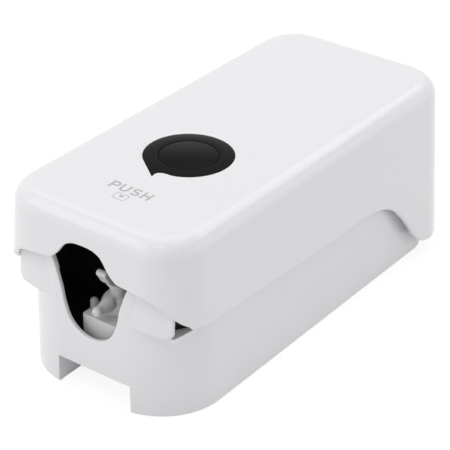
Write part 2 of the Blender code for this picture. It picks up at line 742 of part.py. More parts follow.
def wing_solid(side):
    """A curved plate that carries the end wall's face out past the housing's corner."""
    top = HOUSING_END_TOP_Z - WING_TOP_MARGIN

    def build(bm):
        rows = []
        for (x, y), (_, back_y) in zip(wing_arc(0.0), wing_arc(WING_THICKNESS)):
            past = max(0.0, x - (WING_END_X - WING_CORNER_RADIUS))
            foot = WING_BOTTOM_Z + WING_CORNER_RADIUS
            foot -= math.sqrt(max(0.0, WING_CORNER_RADIUS ** 2 - past ** 2))
            lean = cover_inset(top) - cover_inset(foot)
            rows.append([(side * x, y + WING_EDGE_RADIUS, foot), (side * x, back_y, foot),
                         (side * x, back_y + lean, top), (side * x, y + lean, top),
                         (side * x, y, foot + WING_EDGE_RADIUS),
                         (side * x, y + 0.3 * WING_EDGE_RADIUS, foot + 0.3 * WING_EDGE_RADIUS)])
        grid(bm, rows)

    return add_object("wing_guide", mesh_of("wing_guide", build))


def ledge_solid(side):
    """The floor of the pocket behind a wing, straight along its outer edge."""
    outline = [(side * x, y) for x, y in wing_arc(WING_THICKNESS - OVERLAP)[1:]]
    outline.append((side * LEDGE_END_X, LEDGE_END_Y))
    centre_x = HOUSING_HALF_WIDTH - HOUSING_NEAR_RADIUS
    centre_y = HOUSING_NEAR_Y + HOUSING_NEAR_RADIUS
    inner = HOUSING_NEAR_RADIUS - HOUSING_WALL / 2 - housing_inset(WING_BOTTOM_Z)
    start = math.asin((LEDGE_END_Y - centre_y) / inner)
    end = math.radians(-72)
    for step in range(LEDGE_STEPS + 1):
        angle = start + (end - start) * step / LEDGE_STEPS
        outline.append((side * (centre_x + inner * math.cos(angle)), centre_y + inner * math.sin(angle)))
    return prism("ledge_guide", outline, WING_BOTTOM_Z - LEDGE_THICKNESS + OVERLAP,
                 WING_BOTTOM_Z + OVERLAP)


def mouth_outline():
    """Outline (x, z) of the nozzle mouth: a round bottom and sides that flare upwards."""
    centre_z = MOUTH_BOTTOM_Z + MOUTH_BOTTOM_RADIUS
    reach = math.degrees(math.acos(MOUTH_SIDE[0][0] / MOUTH_BOTTOM_RADIUS))
    points = []
    for step in range(MOUTH_STEPS + 1):
        angle = math.radians(180 + reach + (180 - 2 * reach) * step / MOUTH_STEPS)
        points.append((MOUTH_BOTTOM_RADIUS * math.cos(angle),
                       centre_z + MOUTH_BOTTOM_RADIUS * math.sin(angle)))
    side = list(MOUTH_SIDE[1:])
    side.append((MOUTH_SIDE[-1][0] + 0.002, HOUSING_END_TOP_Z + 2 * CUT_MARGIN))
    points += side
    points += [(-x, z) for x, z in reversed(side)]
    return [(x + MOUTH_MIDDLE_X, z) for x, z in points]


def hinge_ear(side):
    """A plate from the far wall to the hinge pin, clear of the cover's far wall as it swings."""
    root_y = HOUSING_FAR_Y - HOUSING_WALL / 2
    outline = [(root_y, HINGE_Z - EAR_ROOT_BELOW)]
    for step in range(13):
        angle = math.radians(-90 + 200 * step / 12)
        outline.append((HINGE_Y + EAR_RADIUS * math.cos(angle), HINGE_Z + EAR_RADIUS * math.sin(angle)))
    outline.append((root_y, HINGE_Z + EAR_ROOT_ABOVE))
    low, high = sorted((side * EAR_INNER_X, side * (EAR_INNER_X + EAR_THICKNESS)))
    return prism("ear_guide", outline, low, high, "X")


def rear_housing():
    columns = housing_columns()

    def build(bm):
        outer = [[bm.verts.new(p) for p in row] for row in housing_shell_rows(columns, 0.0, 0.0)]
        inner = [[bm.verts.new(p) for p in row] for row in housing_shell_rows(columns, HOUSING_WALL, 0.0)]
        count = len(columns)
        for index in range(count):
            after = (index + 1) % count
            for skin in (outer, inner):
                bm.faces.new((skin[0][index], skin[0][after], skin[1][after], skin[1][index]))
            for level in (0, 1):
                bm.faces.new((outer[level][index], outer[level][after],
                              inner[level][after], inner[level][index]))

    housing = add_object("rear_housing", mesh_of("rear_housing", build), (WHITE, 0.30))
    middle = HOUSING_WALL / 2
    for side in (-1, 1):
        low, high = sorted((side * POCKET_START_X, side * (HOUSING_HALF_WIDTH + CUT_MARGIN)))
        pocket = prism("pocket_guide", box_outline(low, high, HOUSING_NEAR_Y - CUT_MARGIN, LEDGE_END_Y),
                       WING_BOTTOM_Z + OVERLAP / 2, HOUSING_END_TOP_Z + CUT_MARGIN)
        cut(housing, pocket)

    def build_floor(bm):
        rows = []
        for z in (FLOOR_Z, FLOOR_TOP_Z):
            rows.append([(*column_point(column, middle + housing_inset(z)), z) for column in columns])
        grid(bm, rows)

    unite(housing, add_object("floor_guide", mesh_of("floor_guide", build_floor)))
    for side in (-1, 1):
        near_x = NOTCH_MIDDLE_X + side * NOTCH_HALF_WIDTH
        low, high = sorted((near_x, near_x + side * NOTCH_RIB_THICKNESS))
        rib = prism("notch_rib_guide", box_outline(low, high, HOUSING_NEAR_Y + middle, NOTCH_RIB_END_Y),
                    0.0, FLOOR_Z + OVERLAP)
        unite(housing, rib, wing_solid(side), ledge_solid(side), hinge_ear(side))
    notch = prism("notch_guide", box_outline(NOTCH_MIDDLE_X - NOTCH_HALF_WIDTH, NOTCH_MIDDLE_X + NOTCH_HALF_WIDTH,
                                             -CUT_MARGIN, NOTCH_HEIGHT),
                  HOUSING_NEAR_Y - CUT_MARGIN, HOUSING_NEAR_Y + HOUSING_WALL + CUT_MARGIN, "Y")
    mouth = prism("mouth_guide", mouth_outline(), HOUSING_NEAR_Y - CUT_MARGIN,
                  HOUSING_NEAR_Y + MOUTH_CUT_DEPTH, "Y")
    cut(housing, notch, mouth)
    for side in (-1, 1):
        pin_hole = round_cut("ear_hole_guide", PIN_RADIUS + PIN_CLEARANCE, -side * CUT_MARGIN,
                             side * (EAR_THICKNESS + CUT_MARGIN), (side * EAR_INNER_X, HINGE_Y, HINGE_Z), "X")
        cut(housing, pin_hole)
    for x, y in plate_boss_places() + pump_screw_places():
        cut(housing, screw_cut(x, y, FLOOR_Z, FLOOR_TOP_Z))
    return housing


def hinge_pins():
    for name, side in (("hinge_pin_left", -1), ("hinge_pin_right", 1)):
        start = EAR_INNER_X - PIN_BACK
        length = BOSS_HOLE_END_X - GAP - start
        lathe(name, [(PIN_RADIUS, 0), (PIN_RADIUS, side * length)],
              (side * start, HINGE_Y, HINGE_Z), "X", (STEEL, 0.3, 1.0), steps=HOLE_STEPS)


# Wall plate and screws

def plate_boss_places():
    return [(side * PLATE_BOSS_X, y) for y in (PLATE_BOSS_NEAR_Y, PLATE_BOSS_FAR_Y) for side in (-1, 1)]


def wall_screw_places():
    return [(side * WALL_SCREW_X, y) for y in (WALL_SCREW_NEAR_Y, WALL_SCREW_FAR_Y) for side in (-1, 1)]


def pump_screw_places():
    reach = PUMP_BLOCK_HALF_WIDTH + PUMP_FLANGE_LENGTH / 2
    return [(side * reach, PUMP_Y) for side in (-1, 1)]


def round_cut(name, radius, start, end, origin, axis="Z", steps=HOLE_STEPS):
    """A plain round cutter along an axis through origin."""
    return lathe(name, [(radius, start), (radius, end)], origin, axis, steps=steps)


def screw_cut(x, y, low, high):
    """Cutter for a screw's clearance hole through low..high."""
    return round_cut("screw_hole_guide", SCREW_RADIUS + SCREW_HOLE_CLEARANCE, low - CUT_MARGIN,
                     high + CUT_MARGIN, (x, y, 0))


def wall_plate():
    outline = rounded_outline(PLATE_HALF_WIDTH, PLATE_NEAR_Y, PLATE_FAR_Y, PLATE_CORNER_RADIUS)
    plate = prism("wall_plate", outline, 0.0, PLATE_THICKNESS, finish=(GREY, 0.5))
    for x, y in plate_boss_places():
        boss = lathe("plate_boss_guide", [(PLATE_BOSS_RADIUS, PLATE_THICKNESS - OVERLAP),
                                          (PLATE_BOSS_RADIUS, FLOOR_Z - GAP)], (x, y, 0))
        unite(plate, boss)
    for x, y in plate_boss_places():
        cut(plate, screw_cut(x, y, PLATE_THICKNESS + CUT_MARGIN, FLOOR_Z))
    for x, y in wall_screw_places():
        cut(plate, screw_cut(x, y, 0.0, PLATE_THICKNESS))


def screw(name, x, y, seat_z, length):
    """A pan head screw, its head standing on seat_z and its shank below it."""
    profile = [(SCREW_RADIUS * 0.6, -length), (SCREW_RADIUS, -length + SCREW_TIP_HEIGHT), (SCREW_RADIUS, 0),
               (SCREW_HEAD_RADIUS, 0), (SCREW_HEAD_RADIUS, SCREW_HEAD_HEIGHT * 0.6),
               (SCREW_HEAD_RADIUS * 0.7, SCREW_HEAD_HEIGHT)]
    made = lathe(name, profile, (x, y, seat_z + GAP), finish=(STEEL, 0.35, 1.0), steps=HOLE_STEPS)
    wide = SCREW_SLOT_HALF_LENGTH
    thin = SCREW_SLOT_HALF_WIDTH
    low = seat_z + GAP + SCREW_HEAD_HEIGHT * 0.6
    high = seat_z + GAP + SCREW_HEAD_HEIGHT + CUT_MARGIN
    slot = prism(name + "_slot_guide", box_outline(x - thin, x + thin, y - wide, y + wide), low, high)
    cross = prism(name + "_cross_guide", box_outline(x - wide, x + wide, y - thin, y + thin), low, high)
    cut(made, slot, cross)


def screws():
    for index, (x, y) in enumerate(wall_screw_places(), 1):
        screw(f"wall_screw_{index}", x, y, PLATE_THICKNESS, PLATE_THICKNESS)
    for index, (x, y) in enumerate(plate_boss_places(), 1):
        screw(f"housing_screw_{index}", x, y, FLOOR_TOP_Z, FLOOR_TOP_Z - PLATE_THICKNESS - CUT_MARGIN)
    for index, (x, y) in enumerate(pump_screw_places(), 1):
        screw(f"pump_screw_{index}", x, y, FLOOR_TOP_Z + GAP + PUMP_FLANGE_THICKNESS,
              FLOOR_THICKNESS + PUMP_FLANGE_THICKNESS + GAP)


# Push lever

def push_lever():
    """A frame with two arms, a bar over the lower end and a tongue over the pump button."""
    under = LEVER_TOP_Z - LEVER_ARM_HEIGHT
    near_y = LEVER_BAR_Y - LEVER_BAR_WIDTH / 2
    limb_far = HINGE_Y - LEVER_LIMB_BACK
    limb_near = limb_far - LEVER_ARM_HEIGHT
    outline = [(near_y, under), (limb_near - LEVER_GUSSET, under), (limb_near, under - LEVER_GUSSET),
               (limb_near, LEVER_LIMB_LOW_Z)]
    for step in range(11):
        angle = math.radians(175 + 190 * step / 10)
        outline.append((HINGE_Y + LEVER_EYE_RADIUS * math.cos(angle),
                        HINGE_Z + LEVER_EYE_RADIUS * math.sin(angle)))
    outline += [(limb_far, LEVER_LIMB_HIGH_Z), (limb_far, LEVER_TOP_Z - LEVER_BEND_RADIUS)]
    for step in range(1, 6):
        angle = math.radians(90 * step / 5)
        outline.append((limb_far - LEVER_BEND_RADIUS * (1 - math.cos(angle)),
                        LEVER_TOP_Z - LEVER_BEND_RADIUS * (1 - math.sin(angle))))
    outline.append((near_y, LEVER_TOP_Z))
    arm_end = LEVER_ARM_X + LEVER_ARM_THICKNESS
    lever = prism("push_lever", outline, LEVER_ARM_X, arm_end, "X", (WHITE, 0.35))
    other = prism("lever_arm_guide", outline, -arm_end, -LEVER_ARM_X, "X")
    inset = GAP
    bar = prism("lever_bar_guide",
                box_outline(near_y + inset, near_y + LEVER_BAR_WIDTH, under + inset, LEVER_TOP_Z - inset),
                -LEVER_ARM_X - OVERLAP, LEVER_ARM_X + OVERLAP, "X")
    tongue = [(PUMP_Y + y, TONGUE_LOW_Z + z) for y, z in TONGUE_UNDER]
    for step in range(7):
        angle = math.radians(-150 - 150 * step / 6)
        tongue.append((PUMP_Y + TONGUE_TIP[0] + TONGUE_TIP_RADIUS * math.cos(angle),
                       TONGUE_LOW_Z + TONGUE_TIP[1] + TONGUE_TIP_RADIUS * math.sin(angle)))
    tongue += [(PUMP_Y + y, TONGUE_LOW_Z + z) for y, z in TONGUE_UPPER]
    tongue += [(near_y + inset, LEVER_TOP_Z - 4 * inset), (LEVER_BAR_Y, LEVER_TOP_Z - 2 * inset),
               (LEVER_BAR_Y, under + 2 * inset)]
    tongue_solid = prism("lever_tongue_guide", tongue, -TONGUE_WIDTH / 2, TONGUE_WIDTH / 2, "X")
    unite(lever, bar, other, tongue_solid)
    for side in (-1, 1):
        hole = round_cut("lever_hole_guide", PIN_RADIUS + PIN_CLEARANCE, -side * CUT_MARGIN,
                         side * (LEVER_ARM_THICKNESS + CUT_MARGIN),
                         (side * LEVER_ARM_X, HINGE_Y, HINGE_Z), "X")
        cut(lever, hole)


# Soap reservoir and its lid

def tank_bottom_z():
    return FLOOR_TOP_Z + GAP + TANK_FOOT_HEIGHT


def tank_block(name, inset, edge):
    """A block with rounded upright corners and a rounded front edge."""
    top = TANK_TOP_Z - inset

    def outline(grow):
        return rounded_outline(TANK_HALF_WIDTH - inset - grow, TANK_NEAR_Y + inset + grow,
                               TANK_FAR_Y - inset - grow, max(TANK_CORNER_RADIUS - inset - grow, 0.0015))

    def build(bm):
        rows = [[(x, y, tank_bottom_z() + inset) for x, y in outline(0.0)]]
        for step in range(4):
            angle = math.radians(90 * step / 3)
            grow = edge * (1 - math.cos(angle))
            z = top - edge + edge * math.sin(angle)
            rows.append([(x, y, z) for x, y in outline(grow)])
        grid(bm, rows)

    return mesh_of(name, build)


def reservoir():
    tank = add_object("reservoir", tank_block("reservoir", 0.0, TANK_EDGE_RADIUS), (BLACK, 0.35))
    hollow = add_object("tank_hollow_guide",
                        tank_block("tank_hollow", TANK_WALL, TANK_EDGE_RADIUS - TANK_WALL))
    neck = lathe("neck_guide", [(NECK_RADIUS, TANK_WALL / 2), (NECK_RADIUS, -NECK_LENGTH)],
                 (0, TANK_NEAR_Y, NECK_Z), "Y")
    feet = []
    for x in (-TANK_HALF_WIDTH / 2, TANK_HALF_WIDTH / 2):
        for y in (TANK_NEAR_Y + TANK_FOOT_NEAR_INSET, TANK_FAR_Y - TANK_FOOT_FAR_INSET):
            foot_top = TANK_FOOT_HEIGHT + TANK_WALL / 2
            feet.append(lathe("tank_foot_guide", [(TANK_FOOT_RADIUS, 0), (TANK_FOOT_RADIUS, foot_top)],
                              (x, y, FLOOR_TOP_Z + GAP), steps=HOLE_STEPS))
    port = round_cut("port_guide", PORT_RADIUS, -TANK_WALL - CUT_MARGIN, CUT_MARGIN,
                     (0, PORT_Y, TANK_TOP_Z), steps=36)
    bore = round_cut("neck_bore_guide", NECK_BORE_RADIUS, TANK_WALL + CUT_MARGIN,
                     -NECK_LENGTH - CUT_MARGIN, (0, TANK_NEAR_Y, NECK_Z), "Y")
    unite(tank, neck, *feet)
    cut(tank, hollow, port, bore)


def refill_lid():
    seal_low = TANK_TOP_Z + GAP
    lid_low = seal_low + SEAL_HEIGHT + GAP
    tube_ring("lid_seal", PORT_RADIUS + LID_FLANGE - OVERLAP, PORT_RADIUS + OVERLAP, seal_low,
              seal_low + SEAL_HEIGHT, (0, PORT_Y, 0), finish=(RUBBER, 0.7), steps=36)
    skirt = PORT_RADIUS - 2 * GAP
    profile = [(skirt, -LID_SKIRT_DEPTH), (skirt, 0), (PORT_RADIUS + LID_FLANGE, 0),
               (PORT_RADIUS + LID_FLANGE, LID_THICKNESS - LID_EDGE),
               (PORT_RADIUS + LID_FLANGE - LID_EDGE, LID_THICKNESS)]
    lid = lathe("refill_lid", profile, (0, PORT_Y, lid_low), finish=(GREY, 0.4), steps=36)
    tab_root = PORT_Y - PORT_RADIUS - LID_FLANGE
    tab = prism("lid_tab_guide", rounded_outline(LID_TAB_LENGTH, tab_root - LID_TAB_LENGTH,
                                                 tab_root + LID_TAB_LENGTH / 2, 0.4 * LID_TAB_LENGTH),
                lid_low + GAP, lid_low + LID_THICKNESS - LID_EDGE - GAP)
    unite(lid, tab)
    hollow = round_cut("lid_hollow_guide", skirt - LID_SKIRT_WALL, -LID_SKIRT_DEPTH - CUT_MARGIN, OVERLAP,
                       (0, PORT_Y, lid_low), steps=36)
    cut(lid, hollow)


# Pump

def pump_block():
    base = FLOOR_TOP_Z + GAP
    far_y = TANK_NEAR_Y - NECK_LENGTH - NECK_GASKET_LENGTH - 2 * GAP
    outline = rounded_outline(PUMP_BLOCK_HALF_WIDTH, PUMP_BLOCK_NEAR_Y, far_y, 0.0015, 3)
    block = prism("pump_block", outline, base, PUMP_BLOCK_TOP_Z, finish=(WHITE, 0.35))
    flange = prism("pump_flange_guide",
                   rounded_outline(PUMP_BLOCK_HALF_WIDTH + PUMP_FLANGE_LENGTH, PUMP_Y - PUMP_FLANGE_HALF_WIDTH,
                                   PUMP_Y + PUMP_FLANGE_HALF_WIDTH, PUMP_FLANGE_HALF_WIDTH / 2),
                   base, base + PUMP_FLANGE_THICKNESS)
    unite(block, flange)
    bore = round_cut("pump_bore_guide", PUMP_BORE_RADIUS, PUMP_BORE_BOTTOM_Z, PUMP_BLOCK_TOP_Z + CUT_MARGIN,
                     (0, PUMP_Y, 0), steps=ROUND_STEPS)
    inlet = round_cut("pump_inlet_guide", NECK_BORE_RADIUS, PUMP_Y, far_y + CUT_MARGIN, (0, 0, NECK_Z), "Y")
    cut(block, bore, inlet)
    for x, y in pump_screw_places():
        cut(block, screw_cut(x, y, base, base + PUMP_FLANGE_THICKNESS))


def neck_parts():
    near = TANK_NEAR_Y - NECK_LENGTH - GAP
    tube_ring("neck_gasket", NECK_RADIUS, NECK_BORE_RADIUS, near - NECK_GASKET_LENGTH, near,
              (0, 0, NECK_Z), "Y", (RUBBER, 0.7), steps=20)
    profile = []
    for step in range(1, 8):
        angle = math.pi * step / 8
        profile.append((BALL_RADIUS * math.sin(angle), -BALL_RADIUS * math.cos(angle)))
    sink = NECK_BORE_RADIUS - BALL_RADIUS - GAP
    lathe("inlet_ball", profile, (0, TANK_NEAR_Y - NECK_LENGTH / 2, NECK_Z - sink),
          finish=(STEEL, 0.2, 1.0), steps=12)


def pump_cap():
    """The cap of the cylinder, with the tapered spout that carries the nozzle."""
    foot = PUMP_BLOCK_TOP_Z + GAP
    rise = CAP_TOP_Z - foot
    shoulder = foot + CAP_SIDE[1][1] * rise
    profile = []
    for inwards, upwards in CAP_SIDE:
        profile.append((CAP_FOOT_RADIUS + (CAP_TOP_RADIUS - CAP_FOOT_RADIUS) * inwards, foot + rise * upwards))
    profile += [(CAP_TOP_RADIUS, CAP_TOP_Z - CAP_EDGE), (CAP_TOP_RADIUS - CAP_EDGE, CAP_TOP_Z)]
    cap = lathe("pump_cap", profile, (0, PUMP_Y, 0), finish=(WHITE, 0.35))
    taper = [(SPOUT_ROOT_RADIUS, PUMP_Y)]
    for step in range(6):
        share = step / 5
        swell = (1 + math.cos(math.pi * share)) / 2
        taper.append((SPOUT_RADIUS + (SPOUT_ROOT_RADIUS - SPOUT_RADIUS) * swell,
                      SPOUT_ROOT_Y + (SPOUT_END_Y - SPOUT_ROOT_Y) * share))
    spout = lathe("spout_guide", taper, (0, 0, NOZZLE_Z), "Y", steps=20)
    unite(cap, spout)
    rod_hole = round_cut("cap_hole_guide", PISTON_ROD_RADIUS + GAP, foot - CUT_MARGIN, CAP_TOP_Z + CUT_MARGIN,
                         (0, PUMP_Y, 0))
    chamber = lathe("cap_chamber_guide", [(CAP_FOOT_RADIUS - 2 * CAP_WALL, foot - CUT_MARGIN),
                                          (CAP_FOOT_RADIUS - 2 * CAP_WALL, shoulder),
                                          (PISTON_ROD_RADIUS + GAP, CAP_TOP_Z - 2 * CAP_WALL)],
                    (0, PUMP_Y, 0))
    spout_bore = round_cut("spout_bore_guide", NOZZLE_BORE_RADIUS + GAP, PUMP_Y, SPOUT_END_Y - CUT_MARGIN,
                           (0, 0, NOZZLE_Z), "Y")
    button_room = round_cut("button_room_guide", BUTTON_RADIUS + 2 * GAP, CAP_TOP_Z, CAP_TOP_Z + CAP_RISE,
                            (0, PUMP_Y, 0), steps=ROUND_STEPS)
    cut(cap, rod_hole, chamber, spout_bore, button_room)


def outlet_nozzle():
    """A plain tube with a rounded tip."""
    root = SPOUT_END_Y - GAP
    profile = [(NOZZLE_RADIUS, root)]
    for step in range(6):
        angle = math.radians(15 * step)
        profile.append((NOZZLE_RADIUS * math.cos(angle), NOZZLE_TIP_Y + NOZZLE_RADIUS * (1 - math.sin(angle))))
    nozzle = lathe("outlet_nozzle", profile, (0, 0, NOZZLE_Z), "Y", (WHITE, 0.3), steps=20)
    bore = round_cut("nozzle_bore_guide", NOZZLE_BORE_RADIUS, root + CUT_MARGIN, NOZZLE_TIP_Y - CUT_MARGIN,
                     (0, 0, NOZZLE_Z), "Y", 12)
    cut(nozzle, bore)


def vent_plug():
    """Small round plug on the block, beside the spout."""
    low = PUMP_BLOCK_TOP_Z + GAP
    dome = low + PLUG_HEIGHT - PLUG_RADIUS
    profile = [(PLUG_RADIUS, low), (PLUG_RADIUS, dome)]
    for angle in (30.0, 60.0, 80.0):
        profile.append((PLUG_RADIUS * math.cos(math.radians(angle)),
                        dome + PLUG_RADIUS * math.sin(math.radians(angle))))
    lathe("vent_plug", profile, (PLUG_X, PLUG_Y, 0), finish=(GREY, 0.4), steps=HOLE_STEPS)


def pump_piston():
    """Piston head, rod and domed button in one piece."""
    top = TONGUE_LOW_Z - BUTTON_GAP
    head_top = PISTON_BOTTOM_Z + PISTON_HEAD_HEIGHT
    groove = PISTON_HEAD_RADIUS - SEAL_GROOVE_DEPTH
    middle = PISTON_BOTTOM_Z + PISTON_HEAD_HEIGHT / 2
    half = SEAL_WIRE_RADIUS + GAP
    profile = [(PISTON_HEAD_RADIUS, PISTON_BOTTOM_Z), (PISTON_HEAD_RADIUS, middle - half),
               (groove, middle - half), (groove, middle + half), (PISTON_HEAD_RADIUS, middle + half),
               (PISTON_HEAD_RADIUS, head_top), (PISTON_ROD_RADIUS, head_top),
               (PISTON_ROD_RADIUS, top - BUTTON_HEIGHT), (BUTTON_RADIUS, top - BUTTON_HEIGHT),
               (BUTTON_RADIUS, top - BUTTON_DOME), (BUTTON_RADIUS * 0.7, top - BUTTON_DOME * 0.35),
               (BUTTON_RADIUS * 0.3, top)]
    lathe("pump_piston", profile, (0, PUMP_Y, 0), finish=(WHITE, 0.4))
    ring = []
    ring_radius = groove + SEAL_WIRE_RADIUS + GAP / 2
    for step in range(8):
        angle = math.radians(22.5 + 45 * step)
        ring.append((ring_radius + SEAL_WIRE_RADIUS * math.cos(angle),
                     middle + SEAL_WIRE_RADIUS * math.sin(angle)))

    def build(bm):
        rows = []
        for radius, z in ring:
            row = []
            for step in range(ROUND_STEPS):
                angle = 2 * math.pi * (step + 0.5) / ROUND_STEPS
                row.append((radius * math.cos(angle), PUMP_Y + radius * math.sin(angle), z))
            rows.append(row)
        loops = grid(bm, rows, closed_ends=False)
        for index in range(ROUND_STEPS):
            after = (index + 1) % ROUND_STEPS
            bm.faces.new((loops[-1][index], loops[-1][after], loops[0][after], loops[0][index]))

    add_object("piston_seal", mesh_of("piston_seal", build), (RUBBER, 0.6))


def pump_spring():
    """Compression spring under the piston head, one unbroken wire."""
    low = PUMP_BORE_BOTTOM_Z + GAP + SPRING_WIRE_RADIUS
    high = PISTON_BOTTOM_Z - GAP - SPRING_WIRE_RADIUS
    turns = max(1, round((high - low) / SPRING_PITCH))
    count = turns * SPRING_TURN_STEPS
    points = []
    for step in range(count + 1):
        angle = 2 * math.pi * step / SPRING_TURN_STEPS
        points.append(Vector((SPRING_RADIUS * math.cos(angle), PUMP_Y + SPRING_RADIUS * math.sin(angle),
                              low + (high - low) * step / count)))
    curve = bpy.data.curves.new("pump_spring", "CURVE")
    curve.dimensions = "3D"
    curve.bevel_depth = SPRING_WIRE_RADIUS
    curve.bevel_resolution = 1
    curve.use_fill_caps = True
    spline = curve.splines.new("POLY")
    spline.points.add(len(points) - 1)
    for point, place in zip(spline.points, points):
        point.co = (*place, 1.0)
    pitch = (high - low) / turns
    print("pump_spring least gap to itself, mm:", round((pitch - 2 * SPRING_WIRE_RADIUS) * 1000, 3))
    made = bpy.data.objects.new("pump_spring", curve)
    bpy.context.scene.collection.objects.link(made)
    curve.materials.append(material("pump_spring", STEEL, 0.3, 1.0))


def pump_shroud():
    """Dark screen round the pump, which hides the inside of the housing behind the mouth."""
    back_y = TANK_NEAR_Y - GAP - SHROUD_THICKNESS

    def path(inset):
        centre_x = HOUSING_HALF_WIDTH - HOUSING_NEAR_RADIUS
        centre_y = HOUSING_NEAR_Y + HOUSING_NEAR_RADIUS
        radius = HOUSING_NEAR_RADIUS - inset
        points = []
        start = math.asin((SHROUD_START_Y - centre_y) / radius)
        for step in range(8):
            angle = start * (1 - step / 7)
            points.append((centre_x + radius * math.cos(angle), centre_y + radius * math.sin(angle)))
        return points

    side_inset = HOUSING_WALL + housing_inset(SHROUD_TOP_Z) + SHROUD_GAP
    outer = path(side_inset) + [(HOUSING_HALF_WIDTH - side_inset, back_y + SHROUD_THICKNESS)]
    inner_inset = side_inset + SHROUD_THICKNESS
    inner = path(inner_inset) + [(HOUSING_HALF_WIDTH - inner_inset, back_y)]
    outline = outer + [(-x, y) for x, y in reversed(outer)]
    outline += [(-x, y) for x, y in inner]
    outline += [(x, y) for x, y in reversed(inner)]
    shroud = prism("pump_shroud", outline, FLOOR_TOP_Z + GAP, SHROUD_TOP_Z, finish=(BLACK, 0.5))
    neck_hole = round_cut("shroud_hole_guide", NECK_RADIUS + GAP, back_y - CUT_MARGIN,
                          back_y + SHROUD_THICKNESS + CUT_MARGIN, (0, 0, NECK_Z), "Y", 20)
    tray_inset = inner_inset - OVERLAP
    tray_half = HOUSING_HALF_WIDTH - tray_inset
    tray_radius = HOUSING_NEAR_RADIUS - tray_inset
    tray = prism("tray_guide", tray_outline(tray_half, tray_radius, back_y + OVERLAP), TRAY_LOW_Z,
                 TRAY_LOW_Z + TRAY_THICKNESS)
    unite(shroud, tray)
    block_gap = PUMP_BLOCK_HALF_WIDTH + SHROUD_GAP
    block_hole = prism("tray_hole_guide", box_outline(-block_gap, block_gap, PUMP_BLOCK_NEAR_Y - SHROUD_GAP,
                                                      back_y - SHROUD_THICKNESS),
                       TRAY_LOW_Z - CUT_MARGIN, TRAY_LOW_Z + TRAY_THICKNESS + CUT_MARGIN)
    cut(shroud, neck_hole, block_hole)


def tray_outline(half, radius, back_y):
    """Plan of the tray: round at the lower end's corners, cut straight behind the mouth."""
    centre_x = half - radius
    centre_y = HOUSING_NEAR_Y + HOUSING_NEAR_RADIUS
    start = math.asin((TRAY_NEAR_Y - centre_y) / radius)
    outline = [(half, back_y)]
    for step in range(9):
        angle = start * step / 8
        outline.append((centre_x + radius * math.cos(angle), centre_y + radius * math.sin(angle)))
    return outline + [(-x, y) for x, y in reversed(outline)]


def build_all():
    clear_scene()
    push_cover()
    window_parts()
    rear_housing()
    hinge_pins()
    wall_plate()
    screws()
    push_lever()
    reservoir()
    refill_lid()
    neck_parts()
    pump_block()
    pump_cap()
    outlet_nozzle()
    vent_plug()
    pump_piston()
    pump_spring()
    pump_shroud()


build_all()
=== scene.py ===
"""Looks of the wall soap dispenser: shells, window, print, finishes, light and camera, in metres."""

import json
import math

import bmesh
import bpy
from mathutils import Matrix, Vector


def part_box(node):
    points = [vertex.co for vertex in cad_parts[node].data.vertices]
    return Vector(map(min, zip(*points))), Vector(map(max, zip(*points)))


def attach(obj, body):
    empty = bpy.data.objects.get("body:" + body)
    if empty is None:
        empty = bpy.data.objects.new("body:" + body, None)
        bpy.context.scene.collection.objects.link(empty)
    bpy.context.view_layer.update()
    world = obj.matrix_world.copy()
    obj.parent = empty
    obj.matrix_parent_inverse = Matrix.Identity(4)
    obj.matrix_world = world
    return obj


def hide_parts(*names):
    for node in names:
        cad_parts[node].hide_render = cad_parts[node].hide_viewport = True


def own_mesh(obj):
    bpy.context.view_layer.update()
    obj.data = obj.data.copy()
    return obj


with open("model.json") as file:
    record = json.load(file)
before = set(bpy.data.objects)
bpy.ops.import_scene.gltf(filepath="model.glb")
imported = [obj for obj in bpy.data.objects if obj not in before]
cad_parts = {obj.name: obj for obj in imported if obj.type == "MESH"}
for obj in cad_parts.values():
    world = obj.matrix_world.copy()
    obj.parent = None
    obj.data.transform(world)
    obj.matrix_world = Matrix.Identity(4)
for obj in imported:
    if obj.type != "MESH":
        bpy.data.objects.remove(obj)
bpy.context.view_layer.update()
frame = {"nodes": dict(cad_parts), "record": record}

# Camera, fitted to the photograph
CAMERA_EYE = Vector((0.49139, -0.68030, 0.53053))
CAMERA_SIGHT = Vector((-0.51110, 0.69749, -0.50227))
CAMERA_ROLL = 0.0128
CAMERA_LENS = 144.19
CAMERA_SENSOR = 36.0
CAMERA_CLIP = (0.05, 20.0)


# Node helpers for the materials

def new_material(name):
    made = bpy.data.materials.new(name)
    made.use_nodes = True
    tree = made.node_tree
    return made, tree, tree.nodes["Principled BSDF"]


def add_node(tree, kind, **values):
    """A new node with values set on its inputs; an underscore in a name stands for a space."""
    made = tree.nodes.new(kind)
    for name, value in values.items():
        made.inputs[name.replace("_", " ")].default_value = value
    return made


def noise(tree, scale, detail=3.0, rough=0.5):
    place = tree.nodes.new("ShaderNodeTexCoord")
    made = add_node(tree, "ShaderNodeTexNoise", Scale=scale, Detail=detail, Roughness=rough)
    tree.links.new(place.outputs["Object"], made.inputs["Vector"])
    return made.outputs["Fac"]


def ramp(tree, value, low, high):
    """A value from 0..1 spread between low and high."""
    made = add_node(tree, "ShaderNodeMapRange", To_Min=low, To_Max=high)
    tree.links.new(value, made.inputs["Value"])
    return made.outputs["Result"]


def bump(tree, shader, height, strength, distance):
    made = add_node(tree, "ShaderNodeBump", Strength=strength, Distance=distance)
    tree.links.new(height, made.inputs["Height"])
    tree.links.new(made.outputs["Normal"], shader.inputs["Normal"])


